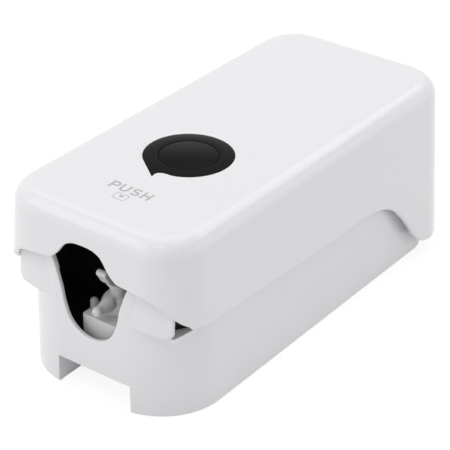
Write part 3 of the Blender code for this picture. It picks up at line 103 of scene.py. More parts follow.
def mottle(tree, shader, value, dark, light):
    """Base colour that drifts slightly between two near tones."""
    made = tree.nodes.new("ShaderNodeValToRGB")
    made.color_ramp.elements[0].position = MOTTLE_DARK_END
    made.color_ramp.elements[0].color = (*dark, 1.0)
    made.color_ramp.elements[1].position = MOTTLE_LIGHT_END
    made.color_ramp.elements[1].color = (*light, 1.0)
    tree.links.new(value, made.inputs["Fac"])
    tree.links.new(made.outputs["Color"], shader.inputs["Base Color"])


# What the finishes share: ends of the drift of tone, refraction, noise scales and bumps
MOTTLE_DARK_END = 0.3
MOTTLE_LIGHT_END = 0.7
PLASTIC_IOR = 1.50
GLOSS_SCALE = 220.0
GRAIN_STRENGTH = 0.12
WEAR_SCALE = 300.0
WEAR_SHARE = 0.85
POLISH_SCALE = 900.0
MARKS_SCALE = 2500.0
MARKS_STRENGTH = 0.2
MARKS_HEIGHT = 0.00002


def plastic(name, dark, light, rough, grain, grain_height, drift=30.0, sheen_level=0.42):
    """Moulded plastic: faint drift of tone, uneven gloss and a fine skin grain."""
    made, tree, shader = new_material(name)
    shader.inputs["IOR"].default_value = PLASTIC_IOR
    shader.inputs["Specular IOR Level"].default_value = sheen_level
    mottle(tree, shader, noise(tree, drift, detail=2.0), dark, light)
    gloss = noise(tree, GLOSS_SCALE, detail=4.0)
    tree.links.new(ramp(tree, gloss, rough[0], rough[1]), shader.inputs["Roughness"])
    bump(tree, shader, noise(tree, grain, detail=2.0, rough=0.6), GRAIN_STRENGTH, grain_height)
    return made


def metal(name, colour, rough):
    """Plated steel with fine turning marks."""
    made, tree, shader = new_material(name)
    shader.inputs["Metallic"].default_value = 1.0
    worn = tuple(part * WEAR_SHARE for part in colour)
    mottle(tree, shader, noise(tree, WEAR_SCALE), worn, colour)
    polish = noise(tree, POLISH_SCALE, detail=4.0)
    tree.links.new(ramp(tree, polish, rough[0], rough[1]), shader.inputs["Roughness"])
    bump(tree, shader, noise(tree, MARKS_SCALE), MARKS_STRENGTH, MARKS_HEIGHT)
    return made


SHELL = plastic("white_shell", dark=(0.826, 0.814, 0.832), light=(0.834, 0.822, 0.840),
                rough=(0.17, 0.19), grain=2600.0, grain_height=0.000004, drift=12.0)
MOULDING = plastic("white_moulding", dark=(0.70, 0.70, 0.71), light=(0.74, 0.74, 0.75),
                   rough=(0.32, 0.42), grain=2200.0, grain_height=0.00003)
GREY_PLASTIC = plastic("grey_plastic", dark=(0.30, 0.30, 0.31), light=(0.35, 0.35, 0.36),
                       rough=(0.40, 0.52), grain=1800.0, grain_height=0.00004)
BLACK_PLASTIC = plastic("black_plastic", dark=(0.020, 0.020, 0.021), light=(0.024, 0.024, 0.025),
                        rough=(0.35, 0.48), grain=1800.0, grain_height=0.00004)
SMOOTH = {"rough": (0.20, 0.24), "grain": 900.0, "grain_height": 0.000004, "sheen_level": 0.03}
SMOKED = plastic("smoked_window", dark=(0.006, 0.006, 0.006), light=(0.0075, 0.0075, 0.0075), **SMOOTH)
SMOKED_DISC = plastic("smoked_disc", dark=(0.0045, 0.0045, 0.0045), light=(0.006, 0.006, 0.006), **SMOOTH)
INK = plastic("print_ink", dark=(0.42, 0.42, 0.43), light=(0.46, 0.46, 0.47),
              rough=(0.40, 0.50), grain=900.0, grain_height=0.00001)
RUBBER = plastic("rubber", dark=(0.022, 0.022, 0.023), light=(0.030, 0.030, 0.031),
                 rough=(0.60, 0.75), grain=1500.0, grain_height=0.00005)
STEEL = metal("steel", colour=(0.60, 0.60, 0.62), rough=(0.25, 0.38))

SLOT_MATERIALS = {"white_shell": SHELL, "white_moulding": MOULDING, "grey_plastic": GREY_PLASTIC,
                  "black_plastic": BLACK_PLASTIC, "smoked_window": SMOKED, "rubber": RUBBER, "steel": STEEL}


def dress_nodes():
    """Every CAD node gets the finish of its material slot."""
    for part in frame["record"]["subparts"]:
        piece = frame["nodes"][part["node"]]
        piece.data.materials.clear()
        piece.data.materials.append(SLOT_MATERIALS[part["material_slot"]])


# Shapes shared by the pieces

def spread(start, end, count):
    """count steps from start to end, both ends included."""
    return [start + (end - start) * step / count for step in range(count + 1)]


def smooth_curve(points, at):
    """Height at a place on the smooth curve through rising places, with no overshoot."""
    if at <= points[0][0]:
        return points[0][1]
    if at >= points[-1][0]:
        return points[-1][1]
    slopes = [(b[1] - a[1]) / (b[0] - a[0]) for a, b in zip(points, points[1:])]
    tangents = [slopes[0]]
    for before, after in zip(slopes, slopes[1:]):
        same_way = before * after > 0
        tangents.append(2 * before * after / (before + after) if same_way else 0.0)
    tangents.append(slopes[-1])
    index = 0
    while points[index + 1][0] < at:
        index += 1
    (start, low), (end, high) = points[index:index + 2]
    run = end - start
    t = (at - start) / run
    return ((2 * t ** 3 - 3 * t ** 2 + 1) * low + (t ** 3 - 2 * t ** 2 + t) * run * tangents[index]
            + (3 * t ** 2 - 2 * t ** 3) * high + (t ** 3 - t ** 2) * run * tangents[index + 1])


def corner_columns(centre_x, centre_y, radius, start, steps):
    columns = []
    for angle in spread(math.radians(start), math.radians(start + 90), steps):
        columns.append((centre_x, centre_y, math.cos(angle), math.sin(angle), radius))
    return columns


def column_point(column, inset):
    """Plan point of a column (centre, outward direction, radius) at an inset from its face."""
    centre_x, centre_y, away_x, away_y, radius = column
    return centre_x + away_x * (radius - inset), centre_y + away_y * (radius - inset)


def skin_between(bm, low, high):
    """Faces between two closed loops of vertices."""
    count = len(low)
    for index in range(count):
        after = (index + 1) % count
        bm.faces.new((low[index], low[after], high[after], high[index]))


def skin_along(bm, rows):
    """Faces between each two neighbouring loops."""
    for low, high in zip(rows, rows[1:]):
        skin_between(bm, low, high)


def skin_closed(bm, rows):
    """Faces between each two neighbouring loops, and one over each end."""
    skin_along(bm, rows)
    bm.faces.new(list(reversed(rows[0])))
    bm.faces.new(rows[-1])


def closed_prism(bm, outline, low, high, place):
    """A closed outline pulled from low to high; place turns (a, b, height) into a point."""
    skin_closed(bm, [[bm.verts.new(place(a, b, height)) for a, b in outline] for height in (low, high)])


def along_z(a, b, height):
    return a, b, height


def along_x(a, b, height):
    return height, a, b


def quarter_round(radius, steps):
    """Pairs from (radius, 0) to (0, radius) along a rounded edge, each measured from the edge's faces."""
    return [(radius * (1 - math.sin(angle)), radius * (1 - math.cos(angle)))
            for angle in spread(0.0, math.pi / 2, steps)]


def dome(radius, top, turn, steps):
    """Profile (radius, height) of a round end, from its full radius up towards the axis."""
    return [(radius * math.cos(angle), top - radius * (1 - math.sin(angle)))
            for angle in spread(0.0, turn, steps)]


def circle_path(centre_x, centre_y, radius, steps):
    """Points round a whole circle, each place once."""
    points = []
    for step in range(steps):
        angle = 2 * math.pi * step / steps
        points.append((centre_x + radius * math.cos(angle), centre_y + radius * math.sin(angle)))
    return points


def arc_path(centre_x, centre_y, radius, start, end, steps=14, radius_y=None):
    """Points along an arc from start to end in degrees, of an ellipse where radius_y is given."""
    tall = radius_y or radius
    return [(centre_x + radius * math.cos(math.radians(angle)),
             centre_y + tall * math.sin(math.radians(angle))) for angle in spread(start, end, steps)]


def box_outline(low_x, high_x, low_y, high_y):
    return [(low_x, low_y), (high_x, low_y), (high_x, high_y), (low_x, high_y)]


def rounded_box(low_x, high_x, low_y, high_y, radius, steps):
    """A box outline with rounded corners."""
    centres = box_outline(low_x + radius, high_x - radius, low_y + radius, high_y - radius)
    points = []
    for (centre_x, centre_y), start in zip(centres[1:] + centres[:1], (-90, 0, 90, 180)):
        points += arc_path(centre_x, centre_y, radius, start, start + 90, steps)
    return points


def turned(bm, profile, origin, along, steps=48):
    """A closed profile of (radius, height) turned about an axis through origin."""
    origin = Vector(origin)
    along = Vector(along)
    side = along.orthogonal().normalized()
    other = along.cross(side)
    ring = [side * a + other * b for a, b in circle_path(0.0, 0.0, 1.0, steps)]
    rows = []
    for radius, height in profile:
        rows.append([bm.verts.new(origin + along * height + away * radius) for away in ring])
    skin_closed(bm, rows)


def add_object(name, data):
    made = bpy.data.objects.new(name, data)
    bpy.context.scene.collection.objects.link(made)
    return made


WELD_DISTANCE = 1e-6


def finish_mesh(name, bm, body, slot, smooth_angle=35.0, finish=None):
    """Turn a bmesh into a smooth shaded piece that rides on a body and has its slot's finish or its own."""
    bmesh.ops.remove_doubles(bm, verts=bm.verts, dist=WELD_DISTANCE)
    bmesh.ops.recalc_face_normals(bm, faces=bm.faces)
    mesh = bpy.data.meshes.new(name)
    bm.to_mesh(mesh)
    bm.free()
    mesh.shade_smooth()
    mesh.set_sharp_from_angle(angle=math.radians(smooth_angle))
    mesh.materials.append(finish or SLOT_MATERIALS[slot])
    piece = add_object(name, mesh)
    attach(piece, body)
    return piece


def fill_between(bm, outer, inner):
    """Flat faces between an outer loop and the loop of a hole in it."""
    edges = []
    for loop in (outer, inner):
        for index in range(len(loop)):
            pair = (loop[index], loop[(index + 1) % len(loop)])
            edges.append(bm.edges.get(pair) or bm.edges.new(pair))
    bmesh.ops.triangle_fill(bm, use_beauty=True, use_dissolve=False, edges=edges)


# Hinge that the lever and the cover share

HINGE_Y = 0.1140
HINGE_Z = 0.0250


# Push cover

COVER_WIDTH = 0.1200
COVER_LENGTH = 0.2565
COVER_DEPTH = 0.1037
COVER_WALL = 0.0025
COVER_CORNER = 0.0277
COVER_CORE_X = COVER_WIDTH / 2 - COVER_CORNER
COVER_CORE_Y = COVER_LENGTH / 2 - COVER_CORNER
COVER_DRAFT = math.radians(3.57)
COVER_GAUGE_Z = 0.040
COVER_EDGE = 0.0100
COVER_LIP = 0.0009
COVER_TOP_DROP = 0.00004
COVER_TOP = COVER_DEPTH - COVER_TOP_DROP
FRONT_BORDER = 0.0008
LOWER_END_Y = -0.1
RIM_END = ((0.0, 0.0886), (0.0050, 0.0883), (0.0100, 0.0866), (0.0126, 0.0842), (0.0155, 0.0802),
           (0.0187, 0.0770), (0.0215, 0.0754), (0.0280, 0.0747), (0.0370, 0.0736), (0.0430, 0.0709),
           (0.0480, 0.0668), (0.0530, 0.0612), (0.0565, 0.0575))
RIM_SIDE = ((-0.1080, 0.0564), (-0.0770, 0.0552), (-0.0070, 0.0525), (0.0320, 0.0520),
            (0.0505, 0.0497), (0.0637, 0.0439), (0.0774, 0.0304), (0.0883, 0.0163),
            (0.0972, 0.0100), (0.1060, 0.0083))
NEAR_STEPS = 72
NEAR_CORNER_STEPS = 30
SIDE_STEPS = 96
FAR_CORNER_STEPS = 24
FAR_STEPS = 12
LIP_STEPS = 4
RIM_ROUNDS = 3
SIDE_SHARES = (0.06, 0.2, 0.4, 0.6, 0.8, 0.95)
OUTER_EDGE_STEPS = 18
INNER_EDGE_STEPS = 8


def cover_inset(z):
    return (z - COVER_GAUGE_Z) * math.tan(COVER_DRAFT)


def rim_height(x, y):
    """The cover's rim: an arch over the mouth, long sides and two lobes at the far end."""
    if y < LOWER_END_Y and abs(x) < RIM_END[-1][0]:
        return smooth_curve(RIM_END, abs(x))
    return smooth_curve(RIM_SIDE, y)


def cover_columns():
    """Columns round the cover's plan, counter-clockwise from the near end's left."""
    core_x = COVER_CORE_X
    core_y = COVER_CORE_Y
    near = spread(-core_x, core_x, NEAR_STEPS)
    side = spread(-core_y, core_y, SIDE_STEPS)
    far = spread(core_x, -core_x, FAR_STEPS)
    columns = [(x, -core_y, 0.0, -1.0, COVER_CORNER) for x in near[:-1]]
    columns += corner_columns(core_x, -core_y, COVER_CORNER, -90, NEAR_CORNER_STEPS)
    columns += [(core_x, y, 1.0, 0.0, COVER_CORNER) for y in side[1:-1]]
    columns += corner_columns(core_x, core_y, COVER_CORNER, 0, FAR_CORNER_STEPS)
    columns += [(x, core_y, 0.0, 1.0, COVER_CORNER) for x in far[1:-1]]
    columns += corner_columns(-core_x, core_y, COVER_CORNER, 90, FAR_CORNER_STEPS)
    columns += [(-core_x, y, -1.0, 0.0, COVER_CORNER) for y in reversed(side[1:-1])]
    columns += corner_columns(-core_x, -core_y, COVER_CORNER, 180, NEAR_CORNER_STEPS)[:-1]
    return columns


def cover_rim_row(columns, inset, lift):
    """A row at a lift above the rim, whose height settles on the drafted wall in a few rounds."""
    row = []
    for column in columns:
        x, y = column_point(column, inset)
        for _ in range(RIM_ROUNDS):
            z = rim_height(x, y)
            x, y = column_point(column, cover_inset(z))
        row.append((*column_point(column, inset + cover_inset(z + lift)), z + lift))
    return row


def cover_skin_rows(columns, wall, inwards, steps):
    """Rows from the rounded rim to the flat front, on the outer or the inner face."""
    rows = []
    for shift, lift in quarter_round(COVER_LIP, LIP_STEPS):
        rows.append(cover_rim_row(columns, wall + shift * inwards, lift))
    radius = COVER_EDGE - wall
    top = COVER_TOP - wall
    start_z = top - radius + radius * math.sin(COVER_DRAFT)
    rim = rows[-1]
    for share in SIDE_SHARES:
        row = []
        for low, column in zip(rim, columns):
            z = low[2] + (start_z - low[2]) * share
            row.append((*column_point(column, wall + cover_inset(z)), z))
        rows.append(row)
    centre_inset = wall + cover_inset(start_z) + radius * math.cos(COVER_DRAFT)
    for angle in spread(COVER_DRAFT, math.pi / 2, steps):
        away = centre_inset - radius * math.cos(angle)
        z = top - radius + radius * math.sin(angle)
        rows.append([(*column_point(column, away), z) for column in columns])
    rows.append([(*column_point(column, centre_inset + FRONT_BORDER), top) for column in columns])
    return rows


# Window outline, shared by the cover and the lens

WINDOW_Y = -0.0414
WINDOW_RADIUS = 0.0233
WINDOW_TIP = Vector((-0.0001, -0.0707))
WINDOW_JOIN = Vector((0.0086, -0.06306))
WINDOW_TAIL = ((0.0070, -0.0635), (0.0052, -0.0637), (0.0034, -0.0638), (0.0019, -0.0640),
               (0.0006, -0.0644), (-0.0006, -0.0651), (-0.0012, -0.0660), (-0.0014, -0.0668),
               (-0.0010, -0.0683))
WINDOW_STEPS = 96
WINDOW_RUN_STEPS = 14

# Dished edge round the window: its width, its point beyond the tip and its profile (outwards, depth)
DISH_WIDTH = 0.0036
DISH_POINT = Vector((-0.0004, -0.0036))
WINDOW_DISH = ((DISH_WIDTH, 0.0), (0.0030, 0.0), (0.0024, 0.00004), (0.0018, 0.00013), (0.0012, 0.00025),
               (0.0006, 0.00038), (0.0003, 0.00050), (0.0003, 0.00100))

# Within this distance of the tip an inward offset shrinks, down to this share of itself
TIP_REACH = 0.004
TIP_SHARE = 0.3


def window_loop(grow):
    """Teardrop: a circle, a straight run to the tip and a hooked return; grow moves it outwards."""
    centre = Vector((0.0, WINDOW_Y))
    reach = (WINDOW_TIP - centre).length
    lean = math.atan2(WINDOW_TIP.y - centre.y, WINDOW_TIP.x - centre.x)
    touch = lean - math.acos(WINDOW_RADIUS / reach)
    start = math.atan2(WINDOW_JOIN.y - WINDOW_Y, WINDOW_JOIN.x)
    inner = []
    outer = []
    for angle in spread(start, touch + 2 * math.pi, WINDOW_STEPS):
        direction = Vector((math.cos(angle), math.sin(angle)))
        inner.append(centre + direction * WINDOW_RADIUS)
        outer.append(centre + direction * (WINDOW_RADIUS + DISH_WIDTH))
    outward = Vector((math.cos(touch), math.sin(touch)))
    for share in spread(0.0, 1.0, WINDOW_RUN_STEPS)[1:-1]:
        inner.append((centre + outward * WINDOW_RADIUS).lerp(WINDOW_TIP, share))
        outer.append(inner[-1] + outward * DISH_WIDTH)
    outer_tip = WINDOW_TIP + DISH_POINT
    inner.append(WINDOW_TIP)
    outer.append(outer_tip)
    for step, point in enumerate(reversed(WINDOW_TAIL), start=1):
        inner.append(Vector(point))
        outer.append(outer_tip.lerp(outer[0], step / (len(WINDOW_TAIL) + 1)))
    if grow >= 0:
        return [a.lerp(b, grow / DISH_WIDTH) for a, b in zip(inner, outer)]
    points = []
    for a, b in zip(inner, outer):
        near = min(1.0, (a - WINDOW_TIP).length / TIP_REACH)
        points.append(a + (b - a).normalized() * grow * (TIP_SHARE + (1 - TIP_SHARE) * near))
    return points


def make_cover():
    """The shell with its dished window opening, and the ribs inside."""
    columns = cover_columns()
    bm = bmesh.new()
    skins = []
    for wall, inwards, steps in ((0.0, 1.0, OUTER_EDGE_STEPS), (COVER_WALL, -1.0, INNER_EDGE_STEPS)):
        skins.append([[bm.verts.new(point) for point in row]
                      for row in cover_skin_rows(columns, wall, inwards, steps)])
    for skin in skins:
        skin_along(bm, skin)
    skin_between(bm, skins[0][0], skins[1][0])
    rings = []
    for grow, depth in WINDOW_DISH + ((WINDOW_DISH[-1][0], COVER_WALL),):
        rings.append([bm.verts.new((p.x, p.y, COVER_TOP - depth)) for p in window_loop(grow)])
    skin_along(bm, rings)
    fill_between(bm, skins[0][-1], rings[0])
    fill_between(bm, skins[1][-1], rings[-1])
    cover = finish_mesh("cover_shell", bm, "cover", "white_shell")
    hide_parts("push_cover")
    make_cover_ribs()


RIB_X = 0.0300
RIB_HALF = 0.0050
RIB_NEAR_Y = -0.0900
RIB_FAR_Y = -0.0860
RIB_GAP = 0.0003
RIB_SINK = 0.00005
BOSS_INNER_X = 0.0505
BOSS_WALL_GAP = 0.0002
BOSS_STEPS = 48

# Boss: (radius, distance from its inner face), where None is the middle of the cover's wall
BOSS_PROFILE = ((0.00325, 0.0004), (0.0061, 0.0), (0.0065, 0.0004), (0.0065, None), (0.0030, None))


def cover_middle_x(y, z):
    """Half width of the cover at the middle of its wall, at a place near the far corner."""
    radius = COVER_CORNER - COVER_WALL / 2 - cover_inset(z)
    along = max(0.0, y - COVER_CORE_Y)
    return COVER_CORE_X + math.sqrt(radius ** 2 - along ** 2)


def make_cover_ribs():
    """Press ribs over the lever's bar and bosses round the hinge pins."""
    bm = bmesh.new()
    for side in (-1, 1):
        middle = side * RIB_X
        outline = box_outline(middle - RIB_HALF, middle + RIB_HALF, RIB_NEAR_Y, RIB_FAR_Y)
        closed_prism(bm, outline, LEVER_TOP_Z + RIB_GAP, COVER_DEPTH - COVER_WALL - RIB_SINK, along_z)
        rows = []
        for radius, height in BOSS_PROFILE:
            row = []
            for y, z in circle_path(HINGE_Y, HINGE_Z, radius, BOSS_STEPS):
                x = cover_middle_x(y, z)
                if height is not None:
                    x = min(x - BOSS_WALL_GAP, BOSS_INNER_X + height)
                row.append(bm.verts.new((side * x, y, z)))
            rows.append(row)
        skin_closed(bm, rows)
    ribs = finish_mesh("cover_ribs", bm, "cover", "white_shell")
    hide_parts("push_cover")


# Smoked lens and the disc let into it; profiles are (outwards, depth) and (radius, height)

LENS_DROP = 0.0005
LENS_GAP = 0.0003
LENS_SINK = 0.0010
LENS_EDGE = ((0.0, 0.00035), (-0.00012, 0.00012), (-0.00040, 0.0))
FLANGE_RADIUS = 0.0262
FLANGE_THICKNESS = 0.0018
DISC_SEAT_RADIUS = 0.0157
DISC_SEAT_DEPTH = 0.0015
DISC_DROP = 0.00003
DISC_PROFILE = ((0.0154, -0.0012), (0.0154, -0.00030), (0.0153, -0.00010), (0.0150, 0.0))
DISC_STEPS = 96


def make_window():
    """The smoked lens with a rounded edge, and the round disc let into it."""
    top = COVER_DEPTH - LENS_DROP
    back = COVER_DEPTH - COVER_WALL - LENS_GAP
    bm = bmesh.new()
    levels = [(0.0, back - LENS_SINK)] + [(grow, top - depth) for grow, depth in LENS_EDGE]
    rows = [[bm.verts.new((p.x, p.y, z)) for p in window_loop(grow)] for grow, z in levels]
    skin_along(bm, rows)
    seat = circle_path(0.0, WINDOW_Y, DISC_SEAT_RADIUS, DISC_STEPS)
    seat_ring = [bm.verts.new((x, y, top)) for x, y in seat]
    floor_ring = [bm.verts.new((vert.co.x, vert.co.y, top - DISC_SEAT_DEPTH)) for vert in seat_ring]
    fill_between(bm, rows[-1], seat_ring)
    skin_between(bm, seat_ring, floor_ring)
    bm.faces.new(floor_ring)
    bm.faces.new(list(reversed(rows[0])))
    flange = circle_path(0.0, WINDOW_Y, FLANGE_RADIUS, DISC_STEPS)
    closed_prism(bm, flange, back - FLANGE_THICKNESS, back, along_z)
    lens = finish_mesh("window_glass", bm, "cover", "smoked_window")
    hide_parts("window_lens")
    bm = bmesh.new()
    turned(bm, DISC_PROFILE, (0, WINDOW_Y, top - DISC_DROP), (0, 0, 1), DISC_STEPS)
    disc = finish_mesh("window_disc_face", bm, "cover", "smoked_window", finish=SMOKED_DISC)
    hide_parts("window_disc")


# Word and sign on the front

PRINT_DEPTH = 0.00008
WORD_LOW_Y = -0.0919
WORD_HEIGHT = 0.0066
WORD_STROKE = 0.00112

# Each letter with its left edge and its width
WORD_LETTERS = (("P", -0.0116, 0.0049), ("U", -0.0054, 0.0053), ("S", 0.0017, 0.0050),
                ("H", 0.0082, 0.0051))
P_BOWL_SHARE = 0.43
S_MIDDLE_SHARE = 0.52

# A rounded frame (low x, high x, low y, high y) round a small triangle
SIGN_BOX = (-0.0030, 0.0044, -0.0992, -0.0936)
SIGN_RADIUS = 0.0010
SIGN_STROKE = 0.00036
SIGN_ARROW = ((0.0007, -0.0975), (0.0023, -0.0951), (-0.0009, -0.0951))


def ribbon(bm, path, width, closed=False):
    """A flat stroke of even width along a path of (x, y), with mitred joints and square ends."""
    points = [Vector(point) for point in path]
    count = len(points)
    left = []
    right = []
    for index, here in enumerate(points):
        ways = []
        if index or closed:
            ways.append((here - points[index - 1]).normalized())
        if index < count - 1 or closed:
            ways.append((points[(index + 1) % count] - here).normalized())
        sides = [Vector((-way.y, way.x)) for way in ways]
        reach = sum(sides, Vector((0, 0))) / (1 + sides[0].dot(sides[-1]) if len(sides) == 2 else 1)
        left.append(here + reach * width / 2)
        right.append(here - reach * width / 2)
    rings = []
    low = COVER_DEPTH - PRINT_DEPTH
    for a, b in zip(left, right):
        corners = ((a.x, a.y, COVER_DEPTH), (b.x, b.y, COVER_DEPTH), (b.x, b.y, low), (a.x, a.y, low))
        rings.append([bm.verts.new(corner) for corner in corners])
    pairs = list(zip(rings, rings[1:]))
    if closed:
        pairs.append((rings[-1], rings[0]))
    for low_ring, high_ring in pairs:
        skin_between(bm, low_ring, high_ring)
    if not closed:
        bm.faces.new(rings[0])
        bm.faces.new(list(reversed(rings[-1])))


def letter_paths(name, wide, tall, half):
    """Centre lines of a letter in a box from (0, 0) to (wide, tall), inset by half a stroke."""
    low = left = half
    high = tall - half
    right = wide - half
    if name == "P":
        bowl = (high - P_BOWL_SHARE * tall) / 2
        bowl_y = high - bowl
        curve = arc_path(right - bowl, bowl_y, bowl, 90, -90)
        return [[(left, 0), (left, high), *curve, (2 * half, bowl_y - bowl)]]
    if name == "U":
        turn = (right - left) / 2
        curve = arc_path(wide / 2, low + turn, turn, 180, 360, 18)
        return [[(left, tall), *curve, (right, tall)]]
    if name == "S":
        turn_high = (high - S_MIDDLE_SHARE * tall) / 2
        turn_low = (S_MIDDLE_SHARE * tall - low) / 2
        upper = arc_path(wide / 2, high - turn_high, (right - left) / 2, 28, 262, 20, turn_high)
        lower = arc_path(wide / 2, low + turn_low, (right - left) / 2, 82, -152, 20, turn_low)
        return [[*upper, *lower]]
    middle = tall / 2
    return [[(left, 0), (left, tall)], [(right, 0), (right, tall)],
            [(2 * half, middle), (wide - 2 * half, middle)]]


def make_print():
    bm = bmesh.new()
    for name, start, wide in WORD_LETTERS:
        for path in letter_paths(name, wide, WORD_HEIGHT, WORD_STROKE / 2):
            ribbon(bm, [(start + x, WORD_LOW_Y + y) for x, y in path], WORD_STROKE)
    ribbon(bm, rounded_box(*SIGN_BOX, SIGN_RADIUS, 6), SIGN_STROKE, closed=True)
    closed_prism(bm, SIGN_ARROW, COVER_DEPTH - PRINT_DEPTH, COVER_DEPTH, along_z)
    finish_mesh("front_print", bm, "cover", "grey_plastic", 20.0, finish=INK)


# Rear housing

HOUSING_HALF = 0.0538
HOUSING_NEAR_Y = -0.1219
HOUSING_FAR_Y = 0.0945
HOUSING_WALL = 0.0025
HOUSING_DRAFT = math.radians(0.39)
HOUSING_NEAR_R = 0.0359
HOUSING_BEND = HOUSING_NEAR_R * math.pi / 2
HOUSING_CORE_X = HOUSING_HALF - HOUSING_NEAR_R
HOUSING_CORE_Y = HOUSING_NEAR_Y + HOUSING_NEAR_R
HOUSING_LIP = 0.0007
LIP_FADE_SHARE = 1 / 6
WALL_SHARES = (0.0, 0.25, 0.5, 0.75, 0.9)
SIDE_TOP_Z = 0.0620
END_TOP_Z = 0.0800
STEP_Y = -0.0960
STEP_RUN = 0.0100
POCKET_START_X = 0.0310
POCKET_END_Y = -0.1004
POCKET_TOP_Z = 0.0499
NOTCH_MIDDLE_X = 0.0020
NOTCH_HALF = 0.0230
NOTCH_Z = 0.0155
MOUTH_MIDDLE_X = 0.0006
MOUTH_RADIUS = 0.0160
MOUTH_LOW_Z = 0.0340
MOUTH_SIDE = ((0.0153, 0.0453), (0.0169, 0.0500), (0.0183, 0.0570), (0.0200, 0.0620),
              (0.0220, 0.0680), (0.0245, 0.0730), (0.0280, 0.0800))

# Low fins that carry the side walls on under the cover's lobes, clear of the cover as it swings
FIN_FAR_Y = 0.1195
FIN_FAR_R = 0.0180
FIN_CORE_Y = FIN_FAR_Y - FIN_FAR_R
FIN_TURN = math.radians(46)
SWING_GAP = 0.0012
SWING_RUN = 0.0012
SWING_LEAD = 0.0006

# Places along the wall: close together up to FINE_RUN, and in pairs at the notch's edges
FINE_RUN = 0.0300
PAIR_HALF = 0.00012
PAIR_CLEAR = 0.0003


def wall_column(run):
    """Column of the housing's outline at a distance from the middle of its lower end."""
    side = -1.0 if run < 0 else 1.0
    rest = abs(run)
    if rest <= HOUSING_CORE_X:
        return side * rest, HOUSING_CORE_Y, 0.0, -1.0, HOUSING_NEAR_R
    rest -= HOUSING_CORE_X
    if rest <= HOUSING_BEND:
        angle = rest / HOUSING_NEAR_R
        return side * HOUSING_CORE_X, HOUSING_CORE_Y, side * math.sin(angle), -math.cos(angle), HOUSING_NEAR_R
    rest -= HOUSING_BEND
    straight = FIN_CORE_Y - HOUSING_CORE_Y
    if rest <= straight:
        return side * HOUSING_CORE_X, HOUSING_CORE_Y + rest, side, 0.0, HOUSING_NEAR_R
    angle = (rest - straight) / FIN_FAR_R
    return side * (HOUSING_HALF - FIN_FAR_R), FIN_CORE_Y, side * math.cos(angle), math.sin(angle), FIN_FAR_R


def wall_runs():
    """Distances round the wall, close together at the mouth, the notch and the corners."""
    bend_end = HOUSING_CORE_X + HOUSING_BEND
    swing_start = bend_end + HOUSING_FAR_Y - SWING_LEAD - HOUSING_CORE_Y
    straight_end = bend_end + FIN_CORE_Y - HOUSING_CORE_Y
    right = spread(0.0, FINE_RUN, 75)[:-1] + spread(FINE_RUN, bend_end, 40)[:-1]
    right += spread(bend_end, swing_start, 24)[:-1] + spread(swing_start, straight_end, 36)[:-1]
    right += spread(straight_end, straight_end + FIN_FAR_R * FIN_TURN, 16)
    runs = [-run for run in reversed(right[1:])] + right
    for edge in (NOTCH_MIDDLE_X - NOTCH_HALF, NOTCH_MIDDLE_X + NOTCH_HALF):
        place = run_of(edge)
        runs = [run for run in runs if abs(run - place) > PAIR_CLEAR]
        runs += [place - PAIR_HALF, place + PAIR_HALF]
    return sorted(runs)


def run_of(x):
    """Distance round the wall of a place on the lower end, from its x."""
    if abs(x) <= HOUSING_CORE_X:
        return x
    bend = HOUSING_NEAR_R * math.asin((abs(x) - HOUSING_CORE_X) / HOUSING_NEAR_R)
    return math.copysign(HOUSING_CORE_X + bend, x)


def swing_clearance(x, y):
    """Highest wall that stays clear of the cover's far end as the cover swings open."""
    lobe_z = RIM_SIDE[-1][1]
    across = max(0.0, abs(x) - COVER_CORE_X)
    corner = math.sqrt((COVER_CORNER - cover_inset(lobe_z)) ** 2 - across ** 2)
    reach = math.hypot(COVER_CORE_Y + corner - HINGE_Y, HINGE_Z - lobe_z) + SWING_GAP
    away = min(reach, abs(y - HINGE_Y))
    return HINGE_Z - math.sqrt(reach ** 2 - away ** 2)


def ease(at, start, run):
    """A smooth step from 0 at start to 1 at start + run."""
    t = min(1.0, max(0.0, (at - start) / run))
    return t * t * (3 - 2 * t)


def wall_top(x, y):
    """Upper edge of the wall: mouth, pockets behind the wings, top of the end, sides and fins."""
    across = abs(x - MOUTH_MIDDLE_X)
    if y < LOWER_END_Y and across < MOUTH_SIDE[-1][0]:
        if across < MOUTH_SIDE[0][0]:
            return MOUTH_LOW_Z + MOUTH_RADIUS - math.sqrt(MOUTH_RADIUS ** 2 - across ** 2)
        return smooth_curve(MOUTH_SIDE, across)
    if y < POCKET_END_Y and abs(x) > POCKET_START_X:
        return POCKET_TOP_Z
    high = END_TOP_Z + (SIDE_TOP_Z - END_TOP_Z) * ease(y, STEP_Y, STEP_RUN)
    return high + (swing_clearance(x, y) - high) * ease(y, HOUSING_FAR_Y, SWING_RUN)


def wall_foot(x, y):
    """Lower edge of the wall: on the wall plane, and at the notch's top edge inside the notch."""
    if y < LOWER_END_Y and abs(x - NOTCH_MIDDLE_X) < NOTCH_HALF:
        return NOTCH_Z
    return 0.0


def wall_point(run, z, inset):
    return (*column_point(wall_column(run), inset + z * math.tan(HOUSING_DRAFT)), z)


